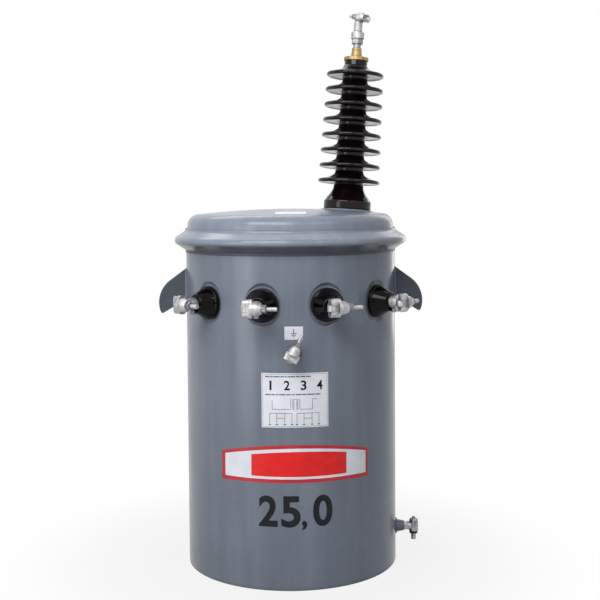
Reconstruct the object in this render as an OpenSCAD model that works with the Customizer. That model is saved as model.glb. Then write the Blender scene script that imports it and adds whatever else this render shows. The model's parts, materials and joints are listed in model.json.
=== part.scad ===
// Pole-type oil-immersed distribution transformer, single phase, in millimetres.
// The tank axis is Z and the rim of the tank stands on Z = 0.
// The row of low-voltage bushings faces -Y, the pole brackets face +Y.

/* [Tank] */
// Outside diameter of the tank wall
tank_d = 450; // [430:1:500]
// Thickness of the tank wall and of the bottom sheet
wall_t = 3; // [2.5:0.5:5]
// Height of the middle of the cover joint above the ground
joint_z = 692.5; // [670:0.5:760]
// Height of the bottom sheet above the ground
bottom_recess = 14; // [6:1:25]
// Height of the bead where the wall meets the bottom sheet
bottom_bead = 6; // [4:1:10]

/* [Cover joint] */
// Thickness of the tank flange and of the cover flange
flange_t = 3.5; // [3:0.5:5]
// Thickness of the cover gasket
gasket_t = 6; // [4:0.5:7]
// How far the clamping band stands out from the tank wall
band_out = 24.5; // [24:0.5:30]
// Sheet thickness of the clamping band
band_t = 3; // [2:0.5:4]
// Outside radius of the band's rounded nose
band_nose_r = 10; // [8:0.5:11]
// Angle of the nose between its middle and the start of the flanks
band_flank_a = 57; // [54:1:60]
// Clearance of the band from the tank wall and cover riser
band_gap = 0.8; // [0.6:0.2:2]
// Slack between band flank and flange edge
band_slack = 0.3; // [0.1:0.1:0.6]
// Opening between the two ends of the band
band_open = 22; // [16:1:30]
// Height of the lugs on the band ends
band_lug_h = 28; // [24:1:34]
// Reach of the band lugs beyond the nose
band_lug_out = 26; // [24:1:34]
// Thickness of the band lugs
band_lug_t = 6; // [4:1:8]
// Diameter of the band bolt
band_bolt_d = 10; // [8:1:12]
// Width of the band bolt's head and nut across their flats
band_bolt_af = 17; // [15:0.5:19]
// Height of the band bolt's head
band_head_h = 6.5; // [5:0.5:8]
// Height of the band bolt's nut
band_nut_h = 8; // [6:0.5:10]

/* [Cover] */
// Sheet thickness of the cover
cover_t = 3; // [2.5:0.5:4]
// Height of the dome's middle above the cover joint
dome_h = 65.5; // [58:0.5:72]
// Radius of the dome's sphere
dome_r = 1870; // [1600:10:2400]
// Outside radius of the cover's rounded shoulder
shoulder_r = 24; // [14:0.5:28]
// Inward lean of the cover's side (degrees)
riser_a = 8; // [2:0.5:10]

/* [High-voltage bushing] */
// Direction of the bushing around the cover, from +X towards +Y
hv_az = 30; // [15:1:45]
// Distance of the bushing from the tank axis, along the dome
hv_pos = 150; // [135:1:152]
// Height of the raised seat above the dome
seat_h = 1.5; // [1:0.5:6]
// Radius of the seat's top face
seat_r = 58; // [55:0.5:60]
// How much wider the seat is at its foot
seat_flare = 4; // [3:0.5:6]
// Thickness of the gasket under the bushing
hv_gasket_t = 2; // [1.5:0.5:4]
// Radius of the bushing's base
hv_base_r = 53; // [48:0.5:54]
// Height of the base's straight part
hv_base_h = 19; // [14:0.5:24]
// Height of the middle of the lowest shed
hv_first_shed = 61; // [58:0.5:68]
// Number of sheds
hv_sheds = 8; // [5:1:9]
// Distance between sheds
hv_pitch = 34; // [30:0.5:40]
// Radius of the lowest shed
hv_shed_r_low = 69; // [64:0.5:74]
// Radius of the highest shed
hv_shed_r_top = 64; // [60:0.5:72]
// Half thickness of a shed's rounded edge
hv_rim_r = 4.5; // [3:0.5:5.5]
// Radius of the core at the lowest shed
hv_core_low = 32.5; // [29:0.5:36]
// Radius of the core at the highest shed
hv_core_top = 27.5; // [26.5:0.5:31]
// Rise of a shed's upper face from its edge to the core
hv_shed_rise = 15; // [12:0.5:17]
// Height of the plain neck above the highest shed
hv_neck_h = 32; // [26:0.5:40]
// Radius of the plain neck
hv_neck_r = 25.5; // [24:0.5:26.5]
// Depth of the bushing inside the tank
hv_inside = 60; // [30:1:120]
// Radius of the bushing below the cover
hv_shank_r = 29; // [26:0.5:34]

/* [High-voltage terminal] */
// Radius of the brass cap's flange
cap_r = 27.5; // [26.5:0.5:32]
// Height of the brass cap's flange
cap_flange_h = 8; // [6:0.5:10]
// Height of the brass cap's neck
cap_neck_h = 21; // [16:0.5:26]
// Radius of the cap's neck at its foot
cap_neck_low = 12.5; // [12:0.5:15]
// Radius of the cap's neck at its top
cap_neck_top = 10.5; // [10:0.5:11.5]
// Radius of the stud
hv_stud_r = 8.5; // [7:0.5:9]
// Visible length of stud between cap and jam nut
hv_stud_show = 9; // [4:0.5:14]
// Height of the jam nut
hv_jam_h = 12; // [8:0.5:14]
// Width of the jam nut across its flats
hv_jam_af = 24; // [22:0.5:27]
// Radius of the clamp's collar
hv_collar_r = 14.5; // [13:0.5:16]
// Height of the clamp's collar
hv_collar_h = 14; // [12:0.5:18]
// Radius of the clamp's column
hv_column_r = 9.5; // [9:0.5:12]
// Height of the clamp's column
hv_column_h = 20; // [16:0.5:24]
// Size of the clamp head compared with a low-voltage one
hv_head_k = 0.8; // [0.7:0.02:0.86]
// Turn of the clamp about its stud
hv_clamp_roll = 130; // [0:5:355]
// Upward lean of the clamp head
hv_head_lean = 8; // [0:1:20]
// Sideways set of the clamp head from the stud axis
hv_head_off = 5.5; // [4:0.5:8]
// Depth of the clamp head's foot below the top of the column
hv_head_drop = 2.5; // [1:0.5:4]
// Length of bolt beyond the nut, before the head's own size is applied
hv_bolt_tail = 8; // [6:0.5:20]

/* [Low-voltage bushings] */
// Height of the bushing row above the ground
lv_z = 570; // [540:1:590]
// Angle between neighbouring bushings
lv_step = 33; // [29:0.5:34]
// Depth of the flat seat pressed into the wall
lv_seat_in = 3; // [2:0.5:4]
// Radius of the flat seat
lv_seat_r = 38; // [36:0.5:40]
// Width of the dished rim around the seat
lv_seat_rim = 6.5; // [5:0.5:8]
// Thickness of a bushing gasket
lv_gasket_t = 3; // [2:0.5:5]
// Radius of the bushing at its base
lv_base_r = 34; // [30:0.5:35.5]
// Height of the bushing's foot flange
lv_foot_h = 8; // [6:0.5:12]
// Step from the foot flange in to the cone
lv_foot_step = 1.5; // [1:0.5:3]
// Radius of the bushing at its front
lv_front_r = 20.5; // [19:0.5:24]
// Length of the bushing outside the tank
lv_len = 36; // [32:0.5:46]
// Radius of the bushing inside the wall
lv_shank_r = 18; // [15:0.5:22]
// Depth of the bushing inside the tank
lv_inside = 26; // [20:1:40]
// Radius of the bushing stud
lv_stud_r = 8; // [6:0.5:9]
// Radius of the clamp's collar
lv_collar_r = 12.5; // [12:0.5:15]
// Height of the clamp's collar
lv_collar_h = 11; // [10:0.5:14]

/* [Terminal clamp head] */
// Radius of the conductor hole
groove_r = 6; // [5:0.5:6.5]
// Height of the conductor hole above the collar
groove_z = 20; // [18:0.5:23]
// Distance of the conductor hole from the stud axis
groove_off = 13; // [12:0.5:14]
// Radial thickness of the eye
eye_w = 4; // [3.5:0.5:4.5]
// Height of the eye along the conductor
eye_h = 12; // [10:0.5:14]
// Length of the clamp body along the conductor
lobe_len = 37; // [34:1:42]
// Depth of the clamp body away from the collar
lobe_depth = 19; // [17:0.5:20]
// Reach of the clamp body beyond the conductor's axis
lobe_out = 5; // [4:0.5:5.5]
// Radius of the clamp body's corners
lobe_round = 8; // [5:0.5:8]
// Thickness of the web between the lobes
web_t = 3.5; // [3:0.5:5]
// Radius of the barrel at the lobes
barrel_r = 15; // [12:0.5:16]
// Radius of the barrel at the nut
barrel_end_r = 9.5; // [8.5:0.5:11]
// Length of the barrel along the bolt
barrel_len = 18; // [15:0.5:22]
// Radius of the neck under the barrel
neck_r = 9.5; // [8.5:0.5:11]
// Radius of the eyebolt's shank
bolt_r = 4; // [3.5:0.5:5]
// Width of the nut across its flats
bolt_af = 14; // [13:0.5:16]
// Height of the nut with its washer face
nut_h = 9; // [7:0.5:11]
// Length of bolt beyond the nut
bolt_tail = 21; // [10:0.5:26]
// Radius of the lock screw
lock_r = 3.5; // [3:0.5:4]
// Width of the lock screw's head across its flats
lock_af = 9; // [8:0.5:11]
// Height of the lock screw's head
lock_head_h = 8; // [5:0.5:9]

/* [Lifting lugs] */
// Thickness of the lug plate
lug_t = 8; // [6:0.5:10]
// Height of the lug's top corner on the wall
lug_top_z = 633; // [620:1:650]
// Height of the lug on the wall
lug_root_h = 66; // [56:1:74]
// Radius of the lug's rounded back, about a point on the wall
lug_round_r = 59; // [54:1:68]
// Depth of the lug's centre of rounding below its top corner
lug_centre_drop = 73; // [68:1:80]
// Angle where the straight top edge meets the rounding
lug_top_a = 55; // [50:1:60]
// Angle below level where the rounding ends at the hook's tip
lug_tip_a = 16; // [10:1:22]
// Distance of the hook's tip from the wall
lug_tip_out = 52; // [46:1:56]
// Depth of the hook's tip below the top corner
lug_tip_drop = 96; // [92:1:106]
// Direction of a lug, from the front towards the side
lug_az = 84; // [78:1:95]

/* [Pole brackets] */
// Height of the middle between the two brackets
hanger_mid_z = 398; // [360:1:430]
// Distance between the slots of the two brackets
hanger_pitch = 286; // [240:1:320]
// Distance of the pole face from the tank wall
hanger_out = 56; // [45:1:80]
// Width of a bracket
hanger_w = 104; // [90:1:130]
// Height of a bracket
hanger_h = 92; // [76:1:110]
// Plate thickness of a bracket
hanger_t = 6; // [4:0.5:8]
// Width of a slot
slot_w = 18; // [14:0.5:22]
// Length of a slot
slot_len = 46; // [36:1:56]

/* [Ground terminal] */
// Height of the ground terminal
ground_z = 479; // [460:1:490]
// Direction of the ground terminal, from the front towards +X
ground_az = -1; // [-6:0.5:6]
// Radius of the welded boss
ground_boss_r = 13.5; // [13:0.5:18]
// Length of the welded boss
ground_boss_h = 9; // [7:0.5:14]
// Radius of the stud
ground_stud_r = 5; // [4:0.5:6]
// Radius of the clamp's collar
ground_collar_r = 9; // [8:0.5:11]
// Height of the clamp's collar
ground_collar_h = 7; // [6:0.5:10]
// Size of the clamp head compared with a low-voltage one
ground_head_k = 0.82; // [0.72:0.02:0.9]
// Turn of the clamp about its stud
ground_roll = 64; // [0:1:90]

/* [Sampling valve] */
// Height of the valve above the ground
valve_z = 63; // [54:1:90]
// Direction of the valve, from the front towards +X
valve_az = 87; // [75:1:100]
// Radius of the boss at the wall
valve_root_r = 14.5; // [12:0.5:18]
// Radius of the boss at its end
valve_end_r = 10.5; // [10.5:0.5:11.5]
// Length of the boss
valve_boss_len = 19; // [15:0.5:26]
// Length of the valve's inlet
valve_inlet_len = 12; // [10:0.5:16]
// Radius of the valve's inlet
valve_inlet_r = 9; // [8:0.5:10]
// Radius of the upright body
valve_body_r = 10; // [10:0.5:13]
// Height of the upright body above its inlet
valve_up = 9; // [9:0.5:12]
// Depth of the upright body below its inlet
valve_down = 11; // [10:0.5:14]
// Height of the bonnet
valve_bonnet_h = 7; // [5:0.5:10]
// Radius of the bonnet's screw
valve_screw_r = 3; // [2:0.5:4]
// Height of the bonnet's screw
valve_screw_h = 4; // [2:0.5:6]
// Radius of the outlet collar
valve_out_r = 8.5; // [7.5:0.5:9.5]
// Height of the outlet collar
valve_out_h = 6; // [4:0.5:8]
// Radius of the spout
valve_spout_r = 5.2; // [4.5:0.1:6.5]
// Length of the spout
valve_spout_len = 13; // [8:0.5:16]
// Radius of the spout's hole
valve_hole_r = 2.8; // [2:0.1:3.2]

/* [Hidden] */
// Number of sides that stands for a true round
$fn = 96;
// Number of sides of a hexagon
hex_n = 6;
// Number of straight steps in a drawn arc
arc_n = 8;
// Overlap of cutting shapes beyond the metal they cut
over = 1;
// Clearance around a stud or bolt in its hole
hole_gap = 0.4;
// Clearance between a thread and its nut
thread_gap = 0.05;
// Clearance between a shank and the hole in sheet metal
sheet_gap = 0.8;
// How far a clamp head reaches down into its collar
head_sink = 2;
// Radius of the tank wall, outside and inside
R = tank_d / 2;
R_in = R - wall_t;
// Colours of the finishes
grey_paint = [0.46, 0.49, 0.53];
black_rubber = [0.06, 0.06, 0.06];
brown_glaze = [0.13, 0.08, 0.06];
black_glaze = [0.07, 0.06, 0.06];
tin_plate = [0.78, 0.79, 0.80];
brass_tint = [0.75, 0.60, 0.30];
zinc_plate = [0.66, 0.68, 0.70];

// Points of an arc about c, from angle a0 to angle a1
function arc(c, r, a0, a1, n) =
    [for (i = [0 : n]) [c[0] + r * cos(a0 + (a1 - a0) * i / n), c[1] + r * sin(a0 + (a1 - a0) * i / n)]];

// Cover joint: the stack of flange, gasket and flange, and where the band's inner flank meets it
stack_half = flange_t + gasket_t / 2;
band_c = R + band_out - band_nose_r;
band_in_r = band_nose_r - band_t;
flank_slope = 1 / tan(band_flank_a);
flange_r = band_c + band_in_r * cos(band_flank_a)
    - (stack_half + band_slack - band_in_r * sin(band_flank_a)) / flank_slope;
band_foot = R + band_gap;
band_foot_out = band_nose_r * sin(band_flank_a)
    + (band_c + band_nose_r * cos(band_flank_a) - band_foot) * flank_slope;
band_foot_in = band_in_r * sin(band_flank_a)
    + (band_c + band_in_r * cos(band_flank_a) - band_foot) * flank_slope;
// The upper flank curls up along the cover in a hollow of radius lip_r
lip_t = 0.8;
lip_r = 8;
lip_corner = [band_foot + lip_t, band_foot_out - lip_t * flank_slope];
lip_c = [band_foot + lip_t + lip_r, lip_corner[1] + lip_r * tan(band_flank_a / 2)];
band_open_a = 2 * asin(band_open / 2 / (R + band_out));
// The band lugs reach inward to this radius, inside the band's own sheet
band_lug_in = R + band_out - band_t / 2;
band_bolt_r = R + band_out + band_lug_out / 2 + over;
tank_flange_z = joint_z - stack_half;
cover_flange_z = joint_z + gasket_t / 2;
gasket_bite = flange_t;

// Cover: the dome's sphere, and a shoulder tangent to it and to the leaning side
dome_top = joint_z + dome_h;
dome_c = dome_top - dome_r;
riser_z = cover_flange_z + 1.5 * flange_t;
shoulder_from = [R - shoulder_r * cos(riser_a), riser_z - shoulder_r * sin(riser_a)];
shoulder_up = shoulder_from * [-sin(riser_a), cos(riser_a)] - dome_c * cos(riser_a);
shoulder_way = sqrt(pow(shoulder_up, 2) + pow(dome_r - shoulder_r, 2)
    - pow(shoulder_from[0], 2) - pow(shoulder_from[1] - dome_c, 2)) - shoulder_up;
shoulder_c = shoulder_from[0] - shoulder_way * sin(riser_a);
shoulder_z = shoulder_from[1] + shoulder_way * cos(riser_a);
shoulder_a = asin(shoulder_c / (dome_r - shoulder_r));
seat_depth = 2.5 * cover_t + seat_h;

// High-voltage bushing: heights along its own axis, measured from the dome
hv_tilt = asin(hv_pos / dome_r);
hv_base_z = seat_h + hv_gasket_t;
hv_last_shed = hv_first_shed + (hv_sheds - 1) * hv_pitch;
hv_top = hv_last_shed + hv_neck_h;
hv_cap_z = hv_base_z + hv_top;
hv_cap_top = hv_cap_z + cap_flange_h + cap_neck_h;
hv_jam_z = hv_cap_top + hv_stud_show;
hv_clamp_z = hv_jam_z + hv_jam_h;
hv_stud_len = hv_clamp_z + hv_collar_h - hole_gap - hv_base_z + hv_inside + hv_neck_h;
hv_flare_a = atan2(hv_head_off, hv_head_k * groove_z - hv_head_drop);
hv_gasket_r = hv_base_r - 1.5;
hv_bore_r = hv_stud_r + hole_gap;
hv_cone_top = hv_first_shed - 2.4 * hv_rim_r;
hv_base_round = 4;
hv_flare_r = hv_base_r - hv_base_round / 2;
// Point of the hollow flare between the foot and the core, for a share k of its height
function hv_flare(k) = [
    hv_core_low + over + (hv_flare_r - hv_core_low) * pow(1 - k, 1.6),
    hv_base_h + (hv_cone_top - hv_base_h) * k];

// Radius of a shed's edge and of the core beside it, for the shed with number i
function shed_r(i) = hv_shed_r_low + (hv_shed_r_top - hv_shed_r_low) * i / (hv_sheds - 1);
function core_r(i) = hv_core_low + (hv_core_top - hv_core_low) * i / (hv_sheds - 1);

// Outline of a shed from the core below it to the core above it
function shed(i) = let (
    z = hv_first_shed + i * hv_pitch,
    c = core_r(i),
    e = shed_r(i) - hv_rim_r,
    span = e - c - hv_rim_r / 2,
    root = z - hv_rim_r * 0.55)
    concat(
        [[c, root - hv_rim_r], [c + hv_rim_r * 0.3, root - hv_rim_r * 0.3], [c + hv_rim_r, root]],
        [[e - hv_rim_r * 1.2, z - hv_rim_r * 0.62], [e - hv_rim_r * 0.6, z - hv_rim_r * 0.85]],
        arc([e, z], hv_rim_r, -85, 65, 7),
        [for (k = [1 : 5])
            [e - span * k / 5, z + hv_rim_r * 0.95 + (hv_shed_rise - hv_rim_r) * pow(k / 5, 1.6)]],
        [[c, z + hv_shed_rise + hv_rim_r * 0.9]]);

// Low-voltage bushings: distances from the tank axis
lv_seat = R - lv_seat_in;
lv_base = lv_seat + lv_gasket_t;
lv_front = lv_base + lv_len;
lv_angles = [for (i = [0 : 3]) (i - 1.5) * lv_step];
lv_gasket_r = lv_base_r - 1;
lv_stud_len = lv_len + lv_gasket_t + 2 * lv_inside + lv_collar_h - head_sink - hole_gap;
lv_edge = 2;
lv_nose = 5;
// The sheet behind a pressed seat bulges inward by the depth of the press
lv_pad_r = lv_seat_r + lv_seat_rim / 2;
lv_dish_r = lv_seat_r + 2 * lv_seat_rim;

// Clamp head: positions along the bolt
groove_x = -groove_off;
eye_r = groove_r + eye_w;
eye_gap = 0.4;
lobe_low = groove_x - lobe_out;
web_x = groove_x + eye_r + eye_gap;
barrel_x = web_x + web_t;
nut_x = barrel_x + barrel_len;
bolt_hole_r = bolt_r + hole_gap;
// The barrel is bell-shaped, from the web to the nut
bell_len = nut_x - web_x;
barrel_drop = barrel_r - barrel_end_r;

// Lug outline in the plane of the fin: distance out from the wall, then height
lug_centre_z = lug_top_z - lug_centre_drop;
lug_line_out = lug_round_r * cos(lug_top_a);
lug_line_z = lug_centre_z + lug_round_r * sin(lug_top_a);
lug_bend_r = 4;

// Valve bonnet: narrower than the body, with a chamfered top
valve_cap_r = valve_body_r - 1;
valve_cap_edge = valve_bonnet_h / 3;

// Ground stud: from inside the boss to below the clamp head
ground_stud_len = ground_boss_h + ground_collar_h - head_sink * ground_head_k - 2 * hole_gap;

// Brackets: the plates lie this far from the axis
hanger_face = R + hanger_out;
hanger_root = sqrt(pow(R, 2) - pow(hanger_w / 2, 2)) - wall_t;

// Places a child on the tank wall: its Z points outward, its Y up, its X to the right seen from outside
module on_wall(az, z) {
    rotate([0, 0, az])
        translate([0, 0, z])
            rotate([90, 0, 0])
                children();
}

// Places a child on the dome, its Z along the bushing
module on_dome(z) {
    rotate([0, 0, hv_az])
        translate([0, 0, dome_c])
            rotate([0, hv_tilt, 0])
                translate([0, 0, dome_r + z])
                    children();
}

// Hexagon of a width across its flats, along Z
module hexagon(af, h) {
    cylinder(r = af / sqrt(3), h = h, $fn = hex_n);
}

// Plate with rounded corners in the XY plane
module rounded_plate(w, l, r, t) {
    linear_extrude(t) {
        square([w - 2 * r, l], center = true);
        square([w, l - 2 * r], center = true);
        for (sx = [-1, 1])
            for (sy = [-1, 1])
                translate([sx * (w / 2 - r), sy * (l / 2 - r)])
                    circle(r);
    }
}

// Turns a shape drawn along Z so that it lies along X
module along_x() {
    rotate([90, 0, 90])
        children();
}

// Sheet behind the pressed seats, kept inside the outer face of the wall
module seat_backs() {
    intersection() {
        cylinder(r = R - over / 2, h = tank_flange_z);
        for (a = lv_angles)
            on_wall(a, lv_z)
                translate([0, 0, lv_seat - wall_t])
                    cylinder(r = lv_pad_r, h = wall_t + lv_seat_in);
    }
}

module tank_wall() {
    color(grey_paint)
        difference() {
            union() {
                difference() {
                    cylinder(r = R, h = tank_flange_z);
                    translate([0, 0, -over])
                        cylinder(r = R_in, h = joint_z + 2 * over);
                }
                seat_backs();
            }
            for (a = lv_angles)
                on_wall(a, lv_z) {
                    translate([0, 0, lv_seat])
                        cylinder(r1 = lv_seat_r, r2 = lv_dish_r, h = 2 * lv_seat_in);
                    translate([0, 0, R / 2])
                        cylinder(r = lv_shank_r + sheet_gap, h = R);
                }
            on_wall(valve_az, valve_z)
                translate([0, 0, R / 2])
                    cylinder(r = valve_hole_r, h = R);
        }
}

module tank_bottom() {
    color(grey_paint)
        translate([0, 0, bottom_recess])
            rotate_extrude()
                polygon([[0, 0], [R_in, 0], [R_in, wall_t + bottom_bead],
                         [R_in - bottom_bead, wall_t], [0, wall_t]]);
}

module tank_flange() {
    color(grey_paint)
        translate([0, 0, tank_flange_z])
            difference() {
                cylinder(r = flange_r, h = flange_t);
                translate([0, 0, -over])
                    cylinder(r = R_in, h = flange_t + 2 * over);
            }
}

module cover() {
    color(grey_paint)
        difference() {
            union() {
                rotate_extrude()
                    polygon(concat(
                        [[R - cover_t, cover_flange_z], [flange_r, cover_flange_z],
                         [flange_r, cover_flange_z + flange_t], [R + flange_t / 2, cover_flange_z + flange_t],
                         [R, riser_z]],
                        arc([shoulder_c, shoulder_z], shoulder_r, riser_a, 90 - shoulder_a, 12),
                        arc([0, dome_c], dome_r, 90 - shoulder_a + 0.5, 90, 14),
                        arc([0, dome_c], dome_r - cover_t, 90, 90 - shoulder_a + 0.5, 14),
                        arc([shoulder_c, shoulder_z], shoulder_r - cover_t, 90 - shoulder_a, riser_a, 12)));
                on_dome(seat_h - seat_depth)
                    cylinder(r1 = seat_r + seat_flare, r2 = seat_r, h = seat_depth);
            }
            on_dome(-hv_inside)
                cylinder(r = hv_shank_r + sheet_gap, h = 2 * hv_inside);
        }
}

module cover_gasket() {
    color(black_rubber)
        translate([0, 0, joint_z - gasket_t / 2])
            difference() {
                cylinder(r = flange_r - gasket_bite / 2, h = gasket_t);
                translate([0, 0, -over])
                    cylinder(r = R_in, h = gasket_t + 2 * over);
            }
}

// Lug of the clamping band, on the side s of the opening
module band_lug(s) {
    translate([s * (band_open / 2 + band_lug_t / 2) - band_lug_t / 2, band_lug_in, joint_z - band_lug_h / 2])
        difference() {
            cube([band_lug_t, band_t / 2 + band_lug_out, band_lug_h]);
            translate([-over, band_bolt_r - band_lug_in, band_lug_h / 2])
                along_x()
                    cylinder(d = band_bolt_d + 2 * hole_gap, h = band_lug_t + 2 * over);
        }
}

module cover_band() {
    color(grey_paint) {
        difference() {
            union() {
                rotate([0, 0, 90 + band_open_a / 2])
                    rotate_extrude(angle = 360 - band_open_a)
                        translate([0, joint_z])
                            polygon(concat(
                                [[band_foot, -band_foot_in], [band_foot, -band_foot_out]],
                                arc([band_c, 0], band_nose_r, -band_flank_a, band_flank_a, 12),
                                arc(lip_c, lip_r, 180 + band_flank_a, 180, 6),
                                [[band_foot, lip_c[1]], [band_foot, band_foot_in]],
                                arc([band_c, 0], band_in_r, band_flank_a, -band_flank_a, 12)));
                band_lug(-1);
                band_lug(1);
            }
            translate([-band_open / 2, R / 2, joint_z - R / 2])
                cube([band_open, R, R]);
        }
    }
}

module cover_band_bolt() {
    color(zinc_plate)
        translate([-band_open / 2 - band_lug_t, band_bolt_r, joint_z])
            along_x() {
                translate([0, 0, -band_head_h])
                    hexagon(band_bolt_af, band_head_h);
                cylinder(d = band_bolt_d, h = band_open + 2 * band_lug_t + band_nut_h + band_head_h);
            }
}

module cover_band_nut() {
    color(zinc_plate)
        translate([band_open / 2 + band_lug_t, band_bolt_r, joint_z])
            along_x()
                difference() {
                    hexagon(band_bolt_af, band_nut_h);
                    translate([0, 0, -over])
                        cylinder(d = band_bolt_d + 2 * thread_gap, h = band_nut_h + 2 * over);
                }
}

module hv_gasket() {
    color(black_rubber)
        on_dome(seat_h)
            difference() {
                cylinder(r = hv_gasket_r, h = hv_gasket_t);
                translate([0, 0, -over])
                    cylinder(r = hv_shank_r + sheet_gap, h = hv_gasket_t + 2 * over);
            }
}

module hv_bushing() {
    color(brown_glaze)
        on_dome(hv_base_z)
            rotate_extrude()
                polygon(concat(
                    [[hv_bore_r, -hv_inside], [hv_shank_r, -hv_inside], [hv_shank_r, 0]],
                    [[hv_base_r - over, 0], [hv_base_r, over]],
                    arc([hv_base_r - hv_base_round, hv_base_h - hv_base_round], hv_base_round, 0, 60, 4),
                    [for (k = [1 : 7]) hv_flare(k / 7)],
                    [for (i = [0 : hv_sheds - 1]) each shed(i)],
                    [[hv_neck_r, hv_top - hv_neck_h / 3], [hv_neck_r, hv_top], [hv_bore_r, hv_top]]));
}

module hv_cap() {
    color(brass_tint)
        on_dome(hv_cap_z)
            difference() {
                rotate_extrude()
                    polygon([[0, 0], [cap_r, 0], [cap_r, cap_flange_h - over], [cap_r - over, cap_flange_h],
                             [cap_neck_low + over, cap_flange_h], [cap_neck_low, cap_flange_h + over],
                             [cap_neck_top, cap_flange_h + cap_neck_h], [0, cap_flange_h + cap_neck_h]]);
                translate([0, 0, -over])
                    cylinder(r = hv_bore_r, h = cap_flange_h + cap_neck_h + 2 * over);
            }
}

module hv_stud() {
    color(tin_plate)
        on_dome(hv_base_z - hv_inside - hv_neck_h)
            cylinder(r = hv_stud_r, h = hv_stud_len);
}

module hv_jam_nut() {
    color(tin_plate)
        on_dome(hv_jam_z)
            difference() {
                hexagon(hv_jam_af, hv_jam_h);
                translate([0, 0, -over])
                    cylinder(r = hv_stud_r + thread_gap, h = hv_jam_h + 2 * over);
            }
}

// Clamp head on a foot of radius foot_r at height foot_z: two lobes beside the eye, a barrel around the shank
module head_body(foot_r, foot_z) {
    difference() {
        union() {
            translate([0, 0, foot_z])
                cylinder(r1 = foot_r, r2 = neck_r, h = groove_z - foot_z);
            translate([lobe_low, 0, groove_z])
                along_x()
                    rounded_plate(lobe_len, lobe_depth, lobe_round, barrel_x - lobe_low);
            translate([web_x, 0, groove_z])
                along_x()
                    rotate_extrude()
                        polygon([[0, 0], [barrel_r, 0], [barrel_r - barrel_drop / 10, bell_len * 0.35],
                                 [barrel_r - barrel_drop * 0.4, bell_len * 0.7],
                                 [barrel_end_r, bell_len], [0, bell_len]]);
        }
        translate([groove_x, 0, groove_z])
            rotate([90, 0, 0]) {
                cylinder(r = groove_r, h = 2 * lobe_len, center = true);
                cylinder(r = eye_r + eye_gap, h = eye_h + 2 * eye_gap, center = true);
            }
        translate([groove_x, 0, groove_z])
            along_x()
                cylinder(r = bolt_hole_r, h = 2 * lobe_len);
    }
}

// Eyebolt: an eye around the conductor and a shank that stands out of the nut by tail
module head_eyebolt(tail) {
    difference() {
        union() {
            translate([groove_x, 0, groove_z])
                rotate([90, 0, 0])
                    cylinder(r = eye_r, h = eye_h, center = true);
            translate([groove_x, 0, groove_z])
                along_x()
                    cylinder(r = bolt_r, h = nut_x + nut_h + tail - groove_x);
        }
        translate([groove_x, 0, groove_z])
            rotate([90, 0, 0])
                cylinder(r = groove_r, h = 2 * lobe_len, center = true);
    }
}

// Nut with a washer face on the barrel
module head_nut() {
    translate([nut_x, 0, groove_z])
        along_x()
            difference() {
                union() {
                    cylinder(d = bolt_af * 1.2, h = nut_h / 5);
                    hexagon(bolt_af, nut_h);
                }
                translate([0, 0, -over])
                    cylinder(r = bolt_r + thread_gap, h = nut_h + 2 * over);
            }
}

// Collar that screws on a stud, with a hole for the lock screw, and a column up to the head
module clamp_collar(r, h, column_r, column_h, stud_r) {
    difference() {
        union() {
            cylinder(r = r, h = h);
            cylinder(r = column_r, h = h + column_h);
        }
        translate([0, 0, -over])
            cylinder(r = stud_r + thread_gap, h = h + over);
        translate([0, 0, h / 2])
            rotate([90, 0, 0])
                cylinder(r = lock_r + thread_gap, h = 2 * r);
    }
}

// Lock screw in the collar of radius r, its tip on the stud
module lock_screw(r, h, stud_r) {
    translate([0, -stud_r - hole_gap, h / 2])
        rotate([90, 0, 0]) {
            cylinder(r = lock_r, h = r - stud_r + lock_head_h);
            translate([0, 0, r - stud_r])
                hexagon(lock_af, lock_head_h);
        }
}

// Places of the three kinds of terminal
module at_lv(i) {
    on_wall(lv_angles[i], lv_z)
        translate([0, 0, lv_front])
            children();
}

module at_hv() {
    on_dome(hv_clamp_z)
        rotate([0, 0, hv_clamp_roll])
            children();
}

module at_ground() {
    on_wall(ground_az, ground_z)
        translate([0, 0, R + ground_boss_h])
            rotate([0, 0, ground_roll])
                children();
}

module lv_head() {
    translate([0, 0, lv_collar_h])
        children();
}

module hv_head() {
    translate([-hv_head_off, 0, hv_collar_h + hv_column_h - hv_head_drop])
        rotate([0, -hv_head_lean, 0])
            scale(hv_head_k)
                children();
}

module ground_head() {
    translate([0, 0, ground_collar_h])
        scale(ground_head_k)
            children();
}

module hv_clamp() {
    color(tin_plate)
        at_hv() {
            clamp_collar(hv_collar_r, hv_collar_h, hv_column_r, hv_column_h, hv_stud_r);
            translate([0, 0, hv_collar_h + hv_column_h]) {
                sphere(r = hv_column_r);
                rotate([0, -hv_flare_a, 0])
                    cylinder(r1 = hv_column_r, r2 = neck_r * hv_head_k, h = hv_head_off);
            }
            hv_head()
                head_body(neck_r, groove_z / 2);
        }
}

module hv_eyebolt() {
    color(tin_plate)
        at_hv()
            hv_head()
                head_eyebolt(hv_bolt_tail);
}

// Low-voltage bushing with number i
module lv_bushing(i) {
    color(black_glaze)
        on_wall(lv_angles[i], lv_z)
            translate([0, 0, lv_base])
                rotate_extrude()
                    polygon(concat(
                        [[lv_stud_r + hole_gap, -lv_gasket_t - lv_inside],
                         [lv_shank_r, -lv_gasket_t - lv_inside], [lv_shank_r, 0]],
                        arc([lv_base_r - lv_edge, lv_edge], lv_edge, -90, 0, 4),
                        arc([lv_base_r - lv_edge, lv_foot_h - lv_edge], lv_edge, 0, 75, 4),
                        [[lv_base_r - lv_edge - lv_foot_step / 2, lv_foot_h + lv_foot_step / 2],
                         [lv_base_r - lv_edge - lv_foot_step, lv_foot_h + 2 * lv_foot_step]],
                        arc([lv_front_r - lv_nose, lv_len - lv_nose], lv_nose, 15, 90, 6),
                        [[lv_stud_r + hole_gap, lv_len]]));
}

module lv_bushing_1() {
    lv_bushing(0);
}

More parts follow.
